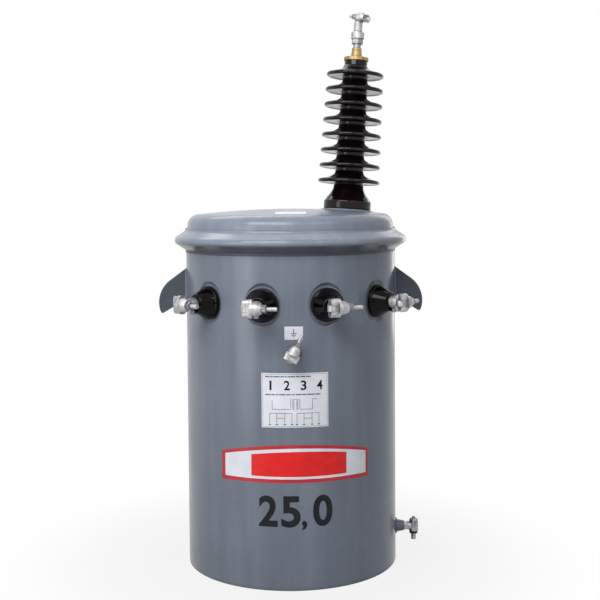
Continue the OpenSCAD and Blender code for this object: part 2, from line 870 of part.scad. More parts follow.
module lv_bushing_2() {
    lv_bushing(1);
}

module lv_bushing_3() {
    lv_bushing(2);
}

module lv_bushing_4() {
    lv_bushing(3);
}

module lv_gaskets() {
    color(black_rubber)
        for (a = lv_angles)
            on_wall(a, lv_z)
                translate([0, 0, lv_seat])
                    difference() {
                        cylinder(r = lv_gasket_r, h = lv_gasket_t);
                        translate([0, 0, -over])
                            cylinder(r = lv_shank_r + sheet_gap, h = lv_gasket_t + 2 * over);
                    }
}

module lv_studs() {
    color(tin_plate)
        for (i = [0 : 3])
            at_lv(i)
                translate([0, 0, -lv_len - lv_gasket_t - 2 * lv_inside])
                    cylinder(r = lv_stud_r, h = lv_stud_len);
}

module lv_clamp(i) {
    color(tin_plate)
        at_lv(i) {
            clamp_collar(lv_collar_r, lv_collar_h, lv_collar_r, 0, lv_stud_r);
            lv_head()
                head_body(lv_collar_r, -head_sink);
        }
}

module lv_clamp_1() {
    lv_clamp(0);
}

module lv_clamp_2() {
    lv_clamp(1);
}

module lv_clamp_3() {
    lv_clamp(2);
}

module lv_clamp_4() {
    lv_clamp(3);
}

module lv_eyebolt(i) {
    color(tin_plate)
        at_lv(i)
            lv_head()
                head_eyebolt(bolt_tail);
}

module lv_eyebolt_1() {
    lv_eyebolt(0);
}

module lv_eyebolt_2() {
    lv_eyebolt(1);
}

module lv_eyebolt_3() {
    lv_eyebolt(2);
}

module lv_eyebolt_4() {
    lv_eyebolt(3);
}

module lock_screws() {
    color(zinc_plate) {
        for (i = [0 : 3])
            at_lv(i)
                lock_screw(lv_collar_r, lv_collar_h, lv_stud_r);
        at_hv()
            lock_screw(hv_collar_r, hv_collar_h, hv_stud_r);
    }
}

module clamp_nuts() {
    color(tin_plate) {
        for (i = [0 : 3])
            at_lv(i)
                lv_head()
                    head_nut();
        at_hv()
            hv_head()
                head_nut();
        at_ground()
            ground_head()
                head_nut();
    }
}

// Lifting lug on the +X side: a fin that hooks downward
module lifting_lug() {
    difference() {
        translate([0, lug_t / 2, 0])
            rotate([90, 0, 0])
                linear_extrude(lug_t)
                    polygon(concat(
                        [[R - lug_t, lug_top_z - lug_root_h], [R - lug_t, lug_top_z], [R, lug_top_z]],
                        arc([R, lug_centre_z], lug_round_r, lug_top_a, -lug_tip_a, 16),
                        [[R + lug_tip_out + lug_bend_r / 2, lug_top_z - lug_tip_drop + lug_bend_r / 4],
                         [R + lug_tip_out - lug_bend_r / 2, lug_top_z - lug_tip_drop + lug_bend_r / 4],
                         [R, lug_top_z - lug_root_h]]));
        cylinder(r = R, h = 2 * joint_z);
    }
}

module lifting_lug_right() {
    color(grey_paint)
        rotate([0, 0, lug_az - 90])
            lifting_lug();
}

module lifting_lug_left() {
    color(grey_paint)
        rotate([0, 0, 270 - lug_az])
            lifting_lug();
}

// Bracket for a pole bolt, its slot at height z
module hanger(z) {
    difference() {
        translate([-hanger_w / 2, hanger_root, z - hanger_h / 2])
            cube([hanger_w, hanger_face - hanger_root, hanger_h]);
        translate([-hanger_w / 2 + hanger_t, hanger_root - over, z - hanger_h / 2 - over])
            cube([hanger_w - 2 * hanger_t, hanger_face - hanger_root - hanger_t + over, hanger_h + 2 * over]);
        cylinder(r = R, h = 2 * joint_z);
        for (s = [-1, 1])
            translate([0, hanger_face + over, z + s * (slot_len - slot_w) / 2])
                rotate([90, 0, 0])
                    cylinder(d = slot_w, h = hanger_t + 2 * over);
        translate([-slot_w / 2, hanger_face - hanger_t - over, z - (slot_len - slot_w) / 2])
            cube([slot_w, hanger_t + 2 * over, slot_len - slot_w]);
    }
}

module hanger_upper() {
    color(grey_paint)
        hanger(hanger_mid_z + hanger_pitch / 2);
}

module hanger_lower() {
    color(grey_paint)
        hanger(hanger_mid_z - hanger_pitch / 2);
}

module ground_boss() {
    color(grey_paint)
        difference() {
            on_wall(ground_az, ground_z)
                translate([0, 0, R - wall_t])
                    difference() {
                        cylinder(r = ground_boss_r, h = ground_boss_h + wall_t);
                        cylinder(r = ground_stud_r + thread_gap, h = ground_boss_h + wall_t + over);
                    }
            cylinder(r = R, h = joint_z);
        }
}

module ground_stud() {
    color(tin_plate)
        at_ground()
            translate([0, 0, hole_gap - ground_boss_h])
                cylinder(r = ground_stud_r, h = ground_stud_len);
}

module ground_clamp() {
    color(tin_plate)
        at_ground() {
            difference() {
                cylinder(r = ground_collar_r, h = ground_collar_h);
                translate([0, 0, -over])
                    cylinder(r = ground_stud_r + thread_gap, h = ground_collar_h + over);
            }
            ground_head()
                head_body(ground_collar_r / ground_head_k, -head_sink);
        }
}

module ground_eyebolt() {
    color(tin_plate)
        at_ground()
            ground_head()
                head_eyebolt(bolt_tail);
}

module valve_boss() {
    color(grey_paint)
        difference() {
            on_wall(valve_az, valve_z)
                translate([0, 0, R - wall_t])
                    difference() {
                        cylinder(r1 = valve_root_r, r2 = valve_end_r, h = valve_boss_len + wall_t);
                        cylinder(r = valve_hole_r, h = valve_boss_len + wall_t + over);
                    }
            cylinder(r = R, h = joint_z);
        }
}

// Places a child on the middle of the valve, its Z up
module at_valve() {
    on_wall(valve_az, valve_z)
        translate([0, 0, R + valve_boss_len + valve_inlet_len + valve_body_r - over])
            rotate([-90, 0, 0])
                children();
}

module valve_body() {
    color(zinc_plate)
        difference() {
            union() {
                at_valve()
                    translate([0, 0, -valve_down])
                        cylinder(r = valve_body_r, h = valve_up + valve_down);
                on_wall(valve_az, valve_z)
                    translate([0, 0, R + valve_boss_len])
                        cylinder(r = valve_inlet_r, h = valve_inlet_len + valve_body_r);
            }
            at_valve()
                translate([0, 0, -valve_down - over])
                    cylinder(r = valve_hole_r, h = valve_down + over);
            on_wall(valve_az, valve_z)
                translate([0, 0, R])
                    cylinder(r = valve_hole_r, h = valve_boss_len + valve_inlet_len + valve_body_r);
        }
}

module valve_bonnet() {
    color(zinc_plate)
        at_valve()
            translate([0, 0, valve_up]) {
                cylinder(r = valve_cap_r, h = valve_bonnet_h - valve_cap_edge);
                translate([0, 0, valve_bonnet_h - valve_cap_edge])
                    cylinder(r1 = valve_cap_r, r2 = valve_cap_r - valve_cap_edge, h = valve_cap_edge);
                cylinder(r = valve_screw_r, h = valve_bonnet_h + valve_screw_h);
            }
}

module valve_outlet() {
    color(zinc_plate)
        at_valve()
            translate([0, 0, -valve_down])
                rotate([180, 0, 0])
                    difference() {
                        union() {
                            cylinder(r = valve_out_r, h = valve_out_h);
                            cylinder(r = valve_spout_r, h = valve_out_h + valve_spout_len);
                        }
                        translate([0, 0, -over])
                            cylinder(r = valve_hole_r, h = valve_out_h + valve_spout_len + 2 * over);
                    }
}

tank_wall();
tank_bottom();
tank_flange();
cover();
cover_gasket();
cover_band();
cover_band_bolt();
cover_band_nut();
hv_gasket();
hv_bushing();
hv_cap();
hv_stud();
hv_jam_nut();
hv_clamp();
hv_eyebolt();
lv_bushing_1();
lv_bushing_2();
lv_bushing_3();
lv_bushing_4();
lv_gaskets();
lv_studs();
lv_clamp_1();
lv_clamp_2();
lv_clamp_3();
lv_clamp_4();
lv_eyebolt_1();
lv_eyebolt_2();
lv_eyebolt_3();
lv_eyebolt_4();
lock_screws();
clamp_nuts();
lifting_lug_left();
lifting_lug_right();
hanger_upper();
hanger_lower();
ground_boss();
ground_stud();
ground_clamp();
ground_eyebolt();
valve_boss();
valve_body();
valve_bonnet();
valve_outlet();
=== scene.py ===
# %% [markdown]
# # Dressing an oil-immersed pole transformer
# The solids of this transformer are already made: a round steel tank, a domed cover held by a
# clamp band, one tall porcelain bushing, four small ones and their terminals. Blender adds what a
# solid model leaves plain: paint, glaze, cast metal, labels, weld beads and screw threads. Every
# object is in metres and sits at the origin, so a new piece is simply made where the solids are.

# %% Load the solids
import json
import math

import bmesh
import bpy
from mathutils import Matrix, Vector


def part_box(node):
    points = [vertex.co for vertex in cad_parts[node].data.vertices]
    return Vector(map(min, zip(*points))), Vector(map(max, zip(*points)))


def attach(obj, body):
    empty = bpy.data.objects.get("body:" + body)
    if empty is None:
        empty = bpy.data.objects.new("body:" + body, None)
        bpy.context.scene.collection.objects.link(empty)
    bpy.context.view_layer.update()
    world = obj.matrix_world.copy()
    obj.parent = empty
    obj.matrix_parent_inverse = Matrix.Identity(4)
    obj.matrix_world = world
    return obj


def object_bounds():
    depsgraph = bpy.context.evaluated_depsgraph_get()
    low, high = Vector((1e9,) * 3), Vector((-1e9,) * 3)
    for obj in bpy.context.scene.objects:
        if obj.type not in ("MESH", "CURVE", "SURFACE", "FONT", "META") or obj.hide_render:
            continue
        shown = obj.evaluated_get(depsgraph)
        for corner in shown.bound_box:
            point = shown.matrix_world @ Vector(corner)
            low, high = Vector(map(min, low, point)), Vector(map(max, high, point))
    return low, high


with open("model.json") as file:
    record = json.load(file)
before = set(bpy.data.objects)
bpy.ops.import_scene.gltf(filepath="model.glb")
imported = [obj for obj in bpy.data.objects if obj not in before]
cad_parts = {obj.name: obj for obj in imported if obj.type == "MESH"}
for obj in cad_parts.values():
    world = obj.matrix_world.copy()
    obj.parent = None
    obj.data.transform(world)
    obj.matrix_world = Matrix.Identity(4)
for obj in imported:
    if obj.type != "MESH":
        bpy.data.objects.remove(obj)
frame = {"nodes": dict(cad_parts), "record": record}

cad_low, cad_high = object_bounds()
solids = frame["nodes"]
wall_low, wall_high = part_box("tank_wall")
TANK_R = (wall_high.x - wall_low.x) / 2
MM = 0.001
scene = bpy.context.scene
print(len(solids), "solids, tank radius", round(TANK_R, 4))

# %% [markdown]
# ## Camera
# The picture was taken from a little above the middle of the tank, almost straight on. A camera
# can be aimed at a target, or be given the turn, tilt and roll that were measured from the
# picture. The measured way is used, so that every edge lands where the picture has it. A small
# vertical shift of the lens saves some tilt, so the upright sides of the tank stay nearly parallel.

# %% Camera
CAMERA_PLACE = Vector((-0.0762, -2.344, 0.7849))
CAMERA_TURN = math.radians(-2.369)
CAMERA_TILT = math.radians(90 - 2.638)
CAMERA_ROLL = math.radians(-0.414)
SENSOR_MM = 36.0
LENS_MM = 64.97
LENS_SHIFT = -0.09

lens = bpy.data.cameras.new("camera")
lens.sensor_width = SENSOR_MM
lens.lens = LENS_MM
lens.shift_y = LENS_SHIFT
camera = bpy.data.objects.new("camera", lens)
camera.matrix_world = (
    Matrix.Translation(CAMERA_PLACE)
    @ Matrix.Rotation(CAMERA_TURN, 4, "Z")
    @ Matrix.Rotation(CAMERA_TILT, 4, "X")
    @ Matrix.Rotation(CAMERA_ROLL, 4, "Z")
)
scene.collection.objects.link(camera)
scene.camera = camera
scene.view_settings.view_transform = "Standard"
print("camera at", tuple(round(c, 3) for c in CAMERA_PLACE))

# %% [markdown]
# ## World
# The world could be a picture of a sky, but a painted tank only needs an even, gentle fill. The
# same world shows as plain white to the camera and in reflections, like the walls of a white
# studio. A Light Path node tells which kind of ray is asking.

# %% World
FILL_STRENGTH = 0.13
FILL_COLOUR = (0.95, 0.97, 1.0, 1.0)
WHITE = (1.0, 1.0, 1.0, 1.0)


def seen_directly(tree):
    """Is the ray one that shows the backdrop: from the camera, a mirror or through glass?"""
    path = tree.nodes.new("ShaderNodeLightPath")
    seen = path.outputs["Is Camera Ray"]
    for kind in ("Is Glossy Ray", "Is Transmission Ray"):
        either = tree.nodes.new("ShaderNodeMath")
        either.operation = "MAXIMUM"
        tree.links.new(seen, either.inputs[0])
        tree.links.new(path.outputs[kind], either.inputs[1])
        seen = either.outputs[0]
    return seen


def mix_to_output(tree, share, first, second, output_kind):
    """Mix two shaders by a share and send the result to the tree's output."""
    mix = tree.nodes.new("ShaderNodeMixShader")
    tree.links.new(share, mix.inputs["Fac"])
    tree.links.new(first.outputs[0], mix.inputs[1])
    tree.links.new(second.outputs[0], mix.inputs[2])
    output = tree.nodes.new(output_kind)
    tree.links.new(mix.outputs[0], output.inputs["Surface"])


def backdrop(tree, colour, strength):
    """An even backdrop of one colour."""
    node = tree.nodes.new("ShaderNodeBackground")
    node.inputs["Color"].default_value = colour
    node.inputs["Strength"].default_value = strength
    return node


world = bpy.data.worlds.new("studio")
scene.world = world
world.use_nodes = True
sky = world.node_tree
sky.nodes.clear()
fill = backdrop(sky, FILL_COLOUR, FILL_STRENGTH)
white = backdrop(sky, WHITE, 1.0)
mix_to_output(sky, seen_directly(sky), fill, white, "ShaderNodeOutputWorld")
print("a fill of", FILL_STRENGTH)

# %% [markdown]
# ## Lamps
# Product pictures of painted tanks are lit by large soft boxes, because small lamps would give
# hard shadows. The main one stands in front on the left and looks down, and a tall one at the side
# draws the broad upright gleam on the wall. Weaker ones overhead, on the right, behind and near the
# floor keep the far sides from going black. The one near the floor is kept out of reflections, where
# it would show as a patch on the glossy wall.

# %% Lamps
# Each has a name, a place, a target, a width, a height, its watts and whether gloss mirrors it.
SOFT_BOXES = (
    ("overhead_box", (-0.2, 0.5, 2.6), (-0.2, 0, 0.75), 1.9, 0.55, 6, True),
    ("front_box", (-0.7, -1.45, 1.8), (0, 0, 0.6), 1.5, 0.8, 32, True),
    ("right_box", (1.0, -1.5, 1.9), (0, 0, 0.6), 0.8, 0.3, 5, True),
    ("back_box", (-0.3, 1.35, 2.35), (0, 0, 0.75), 2.4, 0.6, 16, True),
    ("left_box", (-1.26, -1.1, 0.6), (0, 0, 0.5), 0.6, 1.16, 7, True),
    ("low_box", (1.3, -1.8, 0.3), (0, 0, 0.2), 0.8, 0.4, 4.5, False),
    ("rim_box", (1.35, 2.1, 1.1), (0, 0, 0.5), 0.45, 2.0, 5, True),
)


def softbox(name, place, target, width, height, watts, mirrored):
    """A rectangular lamp at a place, turned to a target, that glossy surfaces mirror or not."""
    lamp = bpy.data.lights.new(name, "AREA")
    lamp.shape = "RECTANGLE"
    lamp.size = width
    lamp.size_y = height
    lamp.energy = watts
    box = bpy.data.objects.new(name, lamp)
    box.location = place
    box.visible_camera = False
    box.visible_glossy = mirrored
    aim = Vector(target) - Vector(place)
    box.rotation_euler = aim.to_track_quat("-Z", "Y").to_euler()
    scene.collection.objects.link(box)


for soft_box in SOFT_BOXES:
    softbox(*soft_box)
print(len(bpy.data.lights), "soft boxes")

# %% [markdown]
# ## Floor
# A wide pale sheet stands in for the studio floor. It could be a shadow catcher, but that depends
# on how the picture is put together later. A diffuse sheet that glows white to the camera away
# from the object, and less near it, keeps the soft contact shadow and shows no horizon line.

# %% Floor
FLOOR_HALF = 30.0
PAPER_GREY = (0.3, 0.3, 0.3, 1.0)
SHADOW_NEAR = 0.25
SHADOW_FAR = 0.7
GLOW_NEAR = 0.86
GLOW_FAR = 1.0

bm = bmesh.new()
bmesh.ops.create_grid(bm, x_segments=8, y_segments=8, size=FLOOR_HALF)
floor_mesh = bpy.data.meshes.new("studio_floor")
bm.to_mesh(floor_mesh)
bm.free()
floor = bpy.data.objects.new("studio_floor", floor_mesh)
scene.collection.objects.link(floor)

paper = bpy.data.materials.new("floor_paper")
paper.use_nodes = True
tree = paper.node_tree
tree.nodes.clear()
sheet = tree.nodes.new("ShaderNodeBsdfDiffuse")
sheet.inputs["Color"].default_value = PAPER_GREY
glow = tree.nodes.new("ShaderNodeEmission")
place = tree.nodes.new("ShaderNodeTexCoord")
reach = tree.nodes.new("ShaderNodeVectorMath")
reach.operation = "LENGTH"
tree.links.new(place.outputs["Object"], reach.inputs[0])
fade = tree.nodes.new("ShaderNodeMapRange")
fade.interpolation_type = "SMOOTHSTEP"
fade.inputs["From Min"].default_value = SHADOW_NEAR
fade.inputs["From Max"].default_value = SHADOW_FAR
fade.inputs["To Min"].default_value = GLOW_NEAR
fade.inputs["To Max"].default_value = GLOW_FAR
tree.links.new(reach.outputs["Value"], fade.inputs["Value"])
share = tree.nodes.new("ShaderNodeMath")
share.operation = "MULTIPLY"
tree.links.new(seen_directly(tree), share.inputs[0])
tree.links.new(fade.outputs["Result"], share.inputs[1])
mix_to_output(tree, share.outputs[0], sheet, glow, "ShaderNodeOutputMaterial")
floor.data.materials.append(paper)
print("floor", 2 * FLOOR_HALF, "m across")

# %% [markdown]
# ## Helpers for finishes
# Each finish starts from one shader, and noise in the object's own coordinates changes its colour,
# its gloss and its surface a little, at the size that the real finish shows. Images could do this
# too, but noise needs no unwrapping and has no seam. The helpers only wire the nodes together.

# %% Helpers for finishes
def srgb(red, green, blue):
    """A colour read from a picture, 0 to 255, as the linear colour a shader takes."""
    def linear(value):
        value = value / 255
        return value / 12.92 if value <= 0.04045 else ((value + 0.055) / 1.055) ** 2.4
    return (linear(red), linear(green), linear(blue), 1.0)


class Finish:
    """One material, with its node tree and its shader at hand."""

    def __init__(self, name, metallic=0.0, specular=0.5):
        self.material = bpy.data.materials.new(name)
        self.material.use_nodes = True
        self.tree = self.material.node_tree
        self.shader = self.tree.nodes["Principled BSDF"]
        self.shader.inputs["Metallic"].default_value = metallic
        self.shader.inputs["Specular IOR Level"].default_value = specular
        coordinates = self.tree.nodes.new("ShaderNodeTexCoord")
        self.place = coordinates.outputs["Object"]
        self.facing = coordinates.outputs["Normal"]
        self.bump = None

    def grain(self, lumps, detail, stretch=(1, 1, 1)):
        """Noise with this many lumps a metre; stretch below 1 draws it out along an axis."""
        turn = self.tree.nodes.new("ShaderNodeMapping")
        turn.inputs["Scale"].default_value = stretch
        self.tree.links.new(self.place, turn.inputs["Vector"])
        noise = self.tree.nodes.new("ShaderNodeTexNoise")
        noise.inputs["Scale"].default_value = lumps
        noise.inputs["Detail"].default_value = detail
        self.tree.links.new(turn.outputs["Vector"], noise.inputs["Vector"])
        return noise.outputs["Fac"]

    def plain(self, colour):
        """One even colour."""
        node = self.tree.nodes.new("ShaderNodeRGB")
        node.outputs["Color"].default_value = colour
        return node.outputs["Color"]

    def ramp(self, source, dark, light, low=0.3, high=0.7):
        """Colours from dark to light along a value."""
        node = self.tree.nodes.new("ShaderNodeValToRGB")
        node.color_ramp.elements[0].position = low
        node.color_ramp.elements[0].color = dark
        node.color_ramp.elements[1].position = high
        node.color_ramp.elements[1].color = light
        self.tree.links.new(source, node.inputs["Fac"])
        return node.outputs["Color"]

    def blend(self, share, first, second):
        """Two colours mixed by a value from a node."""
        node = self.tree.nodes.new("ShaderNodeMix")
        node.data_type = "RGBA"
        self.tree.links.new(share, node.inputs["Factor"])
        self.tree.links.new(first, node.inputs["A"])
        self.tree.links.new(second, node.inputs["B"])
        return node.outputs["Result"]

    def tint(self, colour, tone):
        """A colour multiplied by another, or by a value."""
        node = self.tree.nodes.new("ShaderNodeMix")
        node.data_type = "RGBA"
        node.blend_type = "MULTIPLY"
        node.inputs["Factor"].default_value = 1.0
        self.tree.links.new(colour, node.inputs["A"])
        self.tree.links.new(tone, node.inputs["B"])
        return node.outputs["Result"]

    def span(self, source, low, high, start=0.3, end=0.7):
        """A value between start and end, spread from low to high."""
        node = self.tree.nodes.new("ShaderNodeMapRange")
        node.inputs["From Min"].default_value = start
        node.inputs["From Max"].default_value = end
        node.inputs["To Min"].default_value = low
        node.inputs["To Max"].default_value = high
        self.tree.links.new(source, node.inputs["Value"])
        return node.outputs["Result"]

    def hollows(self, reach_mm, deepest, open_at):
        """How deep in a corner a point lies: 0 in the open, more where dirt and shade gather."""
        node = self.tree.nodes.new("ShaderNodeAmbientOcclusion")
        node.inputs["Distance"].default_value = reach_mm * MM
        return self.span(node.outputs["AO"], deepest, 0.0, start=0.2, end=open_at)

    def upward(self):
        """How far a face looks up: 1 on a flat top, 0 on a wall, -1 on an underside."""
        parts = self.tree.nodes.new("ShaderNodeSeparateXYZ")
        self.tree.links.new(self.facing, parts.inputs["Vector"])
        return parts.outputs["Z"]

    def colour(self, source):
        """Give the shader its colour."""
        self.tree.links.new(source, self.shader.inputs["Base Color"])

    def gloss(self, source):
        """Give the shader its roughness, which is low where the finish is glossy."""
        self.tree.links.new(source, self.shader.inputs["Roughness"])

    def dents(self, source, depth_mm, strength):
        """Lumps and hollows of this depth; a second call lies on top of the first."""
        node = self.tree.nodes.new("ShaderNodeBump")
        node.inputs["Strength"].default_value = strength
        node.inputs["Distance"].default_value = depth_mm * MM
        self.tree.links.new(source, node.inputs["Height"])
        if self.bump is not None:
            self.tree.links.new(self.bump, node.inputs["Normal"])
        self.bump = node.outputs["Normal"]
        self.tree.links.new(self.bump, self.shader.inputs["Normal"])


print("finish helpers ready")

# %% [markdown]
# ## Grey enamel
# The tank is sprayed with a blue-grey enamel. Up close it has orange peel, a fine pebbled skin,
# and the rolled sheet under it is slightly wavy, so that reflections wander. Rain and handling
# leave faint upright streaks. Undersides are darkened as painted shade, and corners take painted
# shade mixed with grime. The cover and its band wear a lighter copy of the enamel, painted light,
# and the lugs a darker copy, painted shade. The paint on weld beads is thin.

# %% Grey enamel
STREAK_STRETCH = (1, 1, 0.07)
STREAK_DARK = (0.90, 0.90, 0.91, 1)
STREAK_LIGHT = (1.04, 1.04, 1.03, 1)
WAVE_STRETCH = (1, 1, 0.3)
UNDERSIDE_SHADE = 0.5


def enamel(name, dark, light, rough):
    """Sprayed enamel: mottled colour, faint upright streaks, orange peel and wavy sheet."""
    finish = Finish(name, specular=0.33)
    mottle = finish.ramp(finish.grain(lumps=7, detail=4), dark, light)
    smears = finish.grain(lumps=34, detail=3, stretch=STREAK_STRETCH)
    streaks = finish.ramp(smears, STREAK_DARK, STREAK_LIGHT, low=0.35, high=0.65)
    # Painted shade: faces that look down are darkened by up to half, as if less light reached them.
    underside = finish.span(finish.upward(), UNDERSIDE_SHADE, 1.0, start=-0.6, end=-0.05)
    clean = finish.tint(finish.tint(mottle, streaks), underside)
    shade_and_grime = finish.ramp(finish.grain(lumps=18, detail=3), srgb(30, 32, 38), srgb(48, 51, 58))
    # Painted shade and grime: corners within 18 mm darken towards dark grey, for the shade that falls
    # there and for dirt.
    corners = finish.hollows(reach_mm=18, deepest=0.8, open_at=0.72)
    finish.colour(finish.blend(corners, clean, shade_and_grime))
    finish.gloss(finish.span(finish.grain(lumps=9, detail=2), *rough))
    waves = finish.grain(lumps=8, detail=1, stretch=WAVE_STRETCH)
    finish.dents(waves, depth_mm=2.0, strength=0.1)
    finish.dents(finish.grain(lumps=420, detail=2), depth_mm=0.1, strength=0.2)
    return finish.material


tank_paint = enamel("tank_enamel", srgb(107, 115, 128), srgb(116, 124, 138), rough=(0.19, 0.29))
# A lighter copy of the tank enamel, painted light: the cover and its band look brighter under the
# light from above.
lit_cover_paint = enamel("lit_cover_enamel", srgb(123, 131, 145), srgb(132, 140, 154), rough=(0.19, 0.29))
# A darker copy of the tank enamel, painted shade: it darkens the lugs and the band's lower lip.
shaded_lug_paint = enamel("shaded_lug_enamel", srgb(66, 70, 79), srgb(76, 81, 91), rough=(0.36, 0.5))
bead_paint = enamel("bead_enamel", srgb(98, 105, 117), srgb(116, 124, 137), rough=(0.3, 0.45))
print("enamels:", tank_paint.name, lit_cover_paint.name, shaded_lug_paint.name, bead_paint.name)

# %% [markdown]
# ## Glazed porcelain
# The bushings are porcelain under a dark glaze: chocolate brown on the tall one, nearly black on
# the small ones. Glaze runs thin over an edge and shows a redder body there. The distance from the
# bushing's own axis tells the shader where the edges of the sheds are: a Mapping node lays that
# axis along Z, and the length of what is left without Z is the radius.

# %% Glazed porcelain
THIN_FROM_R = 0.046
THIN_TO_R = 0.066
THIN_SHARE = 0.55
GLAZE_ROUGH = (0.06, 0.13)


def distance_from_axis(finish, axis_place, axis_turn):
    """How far a point is from an axis that stands at a place and leans by a turn."""
    lay = finish.tree.nodes.new("ShaderNodeMapping")
    lay.vector_type = "TEXTURE"
    lay.inputs["Location"].default_value = axis_place
    lay.inputs["Rotation"].default_value = axis_turn
    finish.tree.links.new(finish.place, lay.inputs["Vector"])
    flat = finish.tree.nodes.new("ShaderNodeVectorMath")
    flat.operation = "MULTIPLY"
    flat.inputs[1].default_value = (1, 1, 0)
    finish.tree.links.new(lay.outputs["Vector"], flat.inputs[0])
    radius = finish.tree.nodes.new("ShaderNodeVectorMath")
    radius.operation = "LENGTH"
    finish.tree.links.new(flat.outputs["Vector"], radius.inputs[0])
    return radius.outputs["Value"]


def glaze(name, deep, thin, shine, axis=None):
    """Dark glaze, thinner towards the edges of the sheds where their axis is given."""
    finish = Finish(name, specular=shine)
    coat = finish.ramp(finish.grain(lumps=45, detail=4), deep, thin, low=0.35, high=0.85)
    if axis:
        radius = distance_from_axis(finish, *axis)
        near_edge = finish.span(radius, 0.0, THIN_SHARE, start=THIN_FROM_R, end=THIN_TO_R)
        coat = finish.blend(near_edge, coat, finish.plain(thin))
    finish.colour(coat)
    finish.gloss(finish.span(finish.grain(lumps=60, detail=3), *GLAZE_ROUGH))
    finish.dents(finish.grain(lumps=70, detail=2), depth_mm=0.5, strength=0.08)
    return finish.material


def middle_of(name):
    """The middle of a solid's box."""
    low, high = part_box(name)
    return (low + high) / 2


hv_foot = middle_of("hv_gasket")
hv_axis = (middle_of("hv_stud") - hv_foot).normalized()
hv_turn = hv_axis.to_track_quat("Z", "Y").to_euler()
hv_glaze = glaze(
    "tall_bushing_glaze", srgb(11, 5, 8), srgb(30, 17, 22), shine=0.24, axis=(hv_foot, hv_turn))
lv_glaze = glaze("small_bushing_glaze", srgb(3, 1, 3), srgb(12, 7, 9), shine=0.12)
print("tall bushing leans", round(math.degrees(hv_axis.angle(Vector((0, 0, 1)))), 2), "degrees")

# %% [markdown]
# ## Bare metals and rubber
# The terminals are cast bronze with a bright tin plating, the nuts and screws are zinc-plated
# steel, and the cap of the tall bushing is brass. Castings have a fine grain and a cloudy shine,
# machined parts are smoother. The gaskets are black rubber, and the oil valve is bronze gone grey.

# %% Bare metals and rubber
# The shine and the cast surface of a metal have this many lumps for each cloud of its colour.
SHINE_LUMPS = 2.3
CAST_LUMPS = 6
RUBBER_ROUGH = (0.55, 0.75)


def metal(name, dark, light, rough, grain_mm, lumps):
    """Metal with a cloudy colour, painted shade and grime in crevices, uneven shine and a cast or
    rolled surface.
    """
    finish = Finish(name, metallic=1.0)
    cloudy = finish.ramp(finish.grain(lumps, detail=5), dark, light)
    shade_and_grime = finish.ramp(finish.grain(lumps, detail=3), srgb(34, 33, 32), srgb(62, 60, 58))
    # Painted shade and grime: crevices within 7 mm darken towards dark grey, for the shade that falls
    # there and for dirt.
    corners = finish.hollows(reach_mm=7, deepest=0.9, open_at=0.95)
    finish.colour(finish.blend(corners, cloudy, shade_and_grime))
    finish.gloss(finish.span(finish.grain(lumps * SHINE_LUMPS, detail=4), *rough))
    finish.dents(finish.grain(lumps * CAST_LUMPS, detail=3), grain_mm, strength=0.35)
    return finish.material


tin = metal(
    "tinned_bronze", srgb(136, 136, 138), srgb(190, 190, 192), rough=(0.46, 0.64),
    grain_mm=0.6, lumps=130)
zinc = metal(
    "zinc_plate", srgb(106, 108, 112), srgb(156, 158, 162), rough=(0.36, 0.5),
    grain_mm=0.15, lumps=220)
brass = metal(
    "brass_cap", srgb(138, 115, 76), srgb(174, 149, 104), rough=(0.45, 0.6),
    grain_mm=0.15, lumps=120)
valve_metal = metal(
    "grey_bronze", srgb(122, 122, 125), srgb(176, 176, 178), rough=(0.36, 0.54),
    grain_mm=0.4, lumps=140)


def rubber(name, dark, light):
    """Black rubber, matt and lightly dusty."""
    finish = Finish(name, specular=0.3)
    finish.colour(finish.ramp(finish.grain(lumps=120, detail=4), dark, light))
    finish.gloss(finish.span(finish.grain(lumps=80, detail=3), *RUBBER_ROUGH))
    finish.dents(finish.grain(lumps=900, detail=2), depth_mm=0.08, strength=0.3)
    return finish.material


gasket_rubber = rubber("gasket_rubber", srgb(24, 24, 25), srgb(44, 44, 46))
sleeve_rubber = rubber("valve_sleeve_rubber", srgb(16, 16, 17), srgb(32, 32, 34))
print("metals and rubber ready")

# %% [markdown]
# ## Finishes on the solids
# Each solid takes the finish of the real piece. A table from finish to names is easier to read and
# to change than an assignment after each piece.

# %% Finishes on the solids
def numbered(stem):
    """The names of the four low-voltage pieces of one kind."""
    return [stem + number for number in "1234"]


wearers = (
    (tank_paint, ("tank_wall", "tank_bottom", "tank_flange", "hanger_upper", "hanger_lower",
                  "ground_boss", "valve_boss")),
    (lit_cover_paint, ("cover", "cover_band")),
    (shaded_lug_paint, ("lifting_lug_left", "lifting_lug_right")),
    (gasket_rubber, ("cover_gasket", "hv_gasket", "lv_gaskets")),
    (zinc, ("cover_band_bolt", "cover_band_nut", "lock_screws", "clamp_nuts", "hv_jam_nut",
            "ground_stud")),
    (tin, ("hv_stud", "lv_studs", "hv_clamp", "hv_eyebolt", "ground_clamp", "ground_eyebolt",
           *numbered("lv_clamp_"), *numbered("lv_eyebolt_"))),
    (valve_metal, ("valve_body", "valve_bonnet", "valve_outlet")),
    (lv_glaze, numbered("lv_bushing_")),
    (hv_glaze, ("hv_bushing",)),
    (brass, ("hv_cap",)),
)
worn = {name: finish for finish, names in wearers for name in names}
for name, solid in solids.items():
    solid.data.materials.clear()
    solid.data.materials.append(worn[name])
print(len(worn), "solids have a finish")

# %% [markdown]
# ## Softer shading and edges
# A solid arrives as loose triangles with the shading of its exact faces, so that a turned curve
# shows as narrow cones. A small node group joins the triangles, drops the old shading and smooths
# across every edge below an angle. A Bevel modifier then rounds the sharp edges of pressed, cast
# and cut pieces by about a millimetre, because a real edge always catches a thin line of light.
# Only the tank wall keeps the shading that it came with.

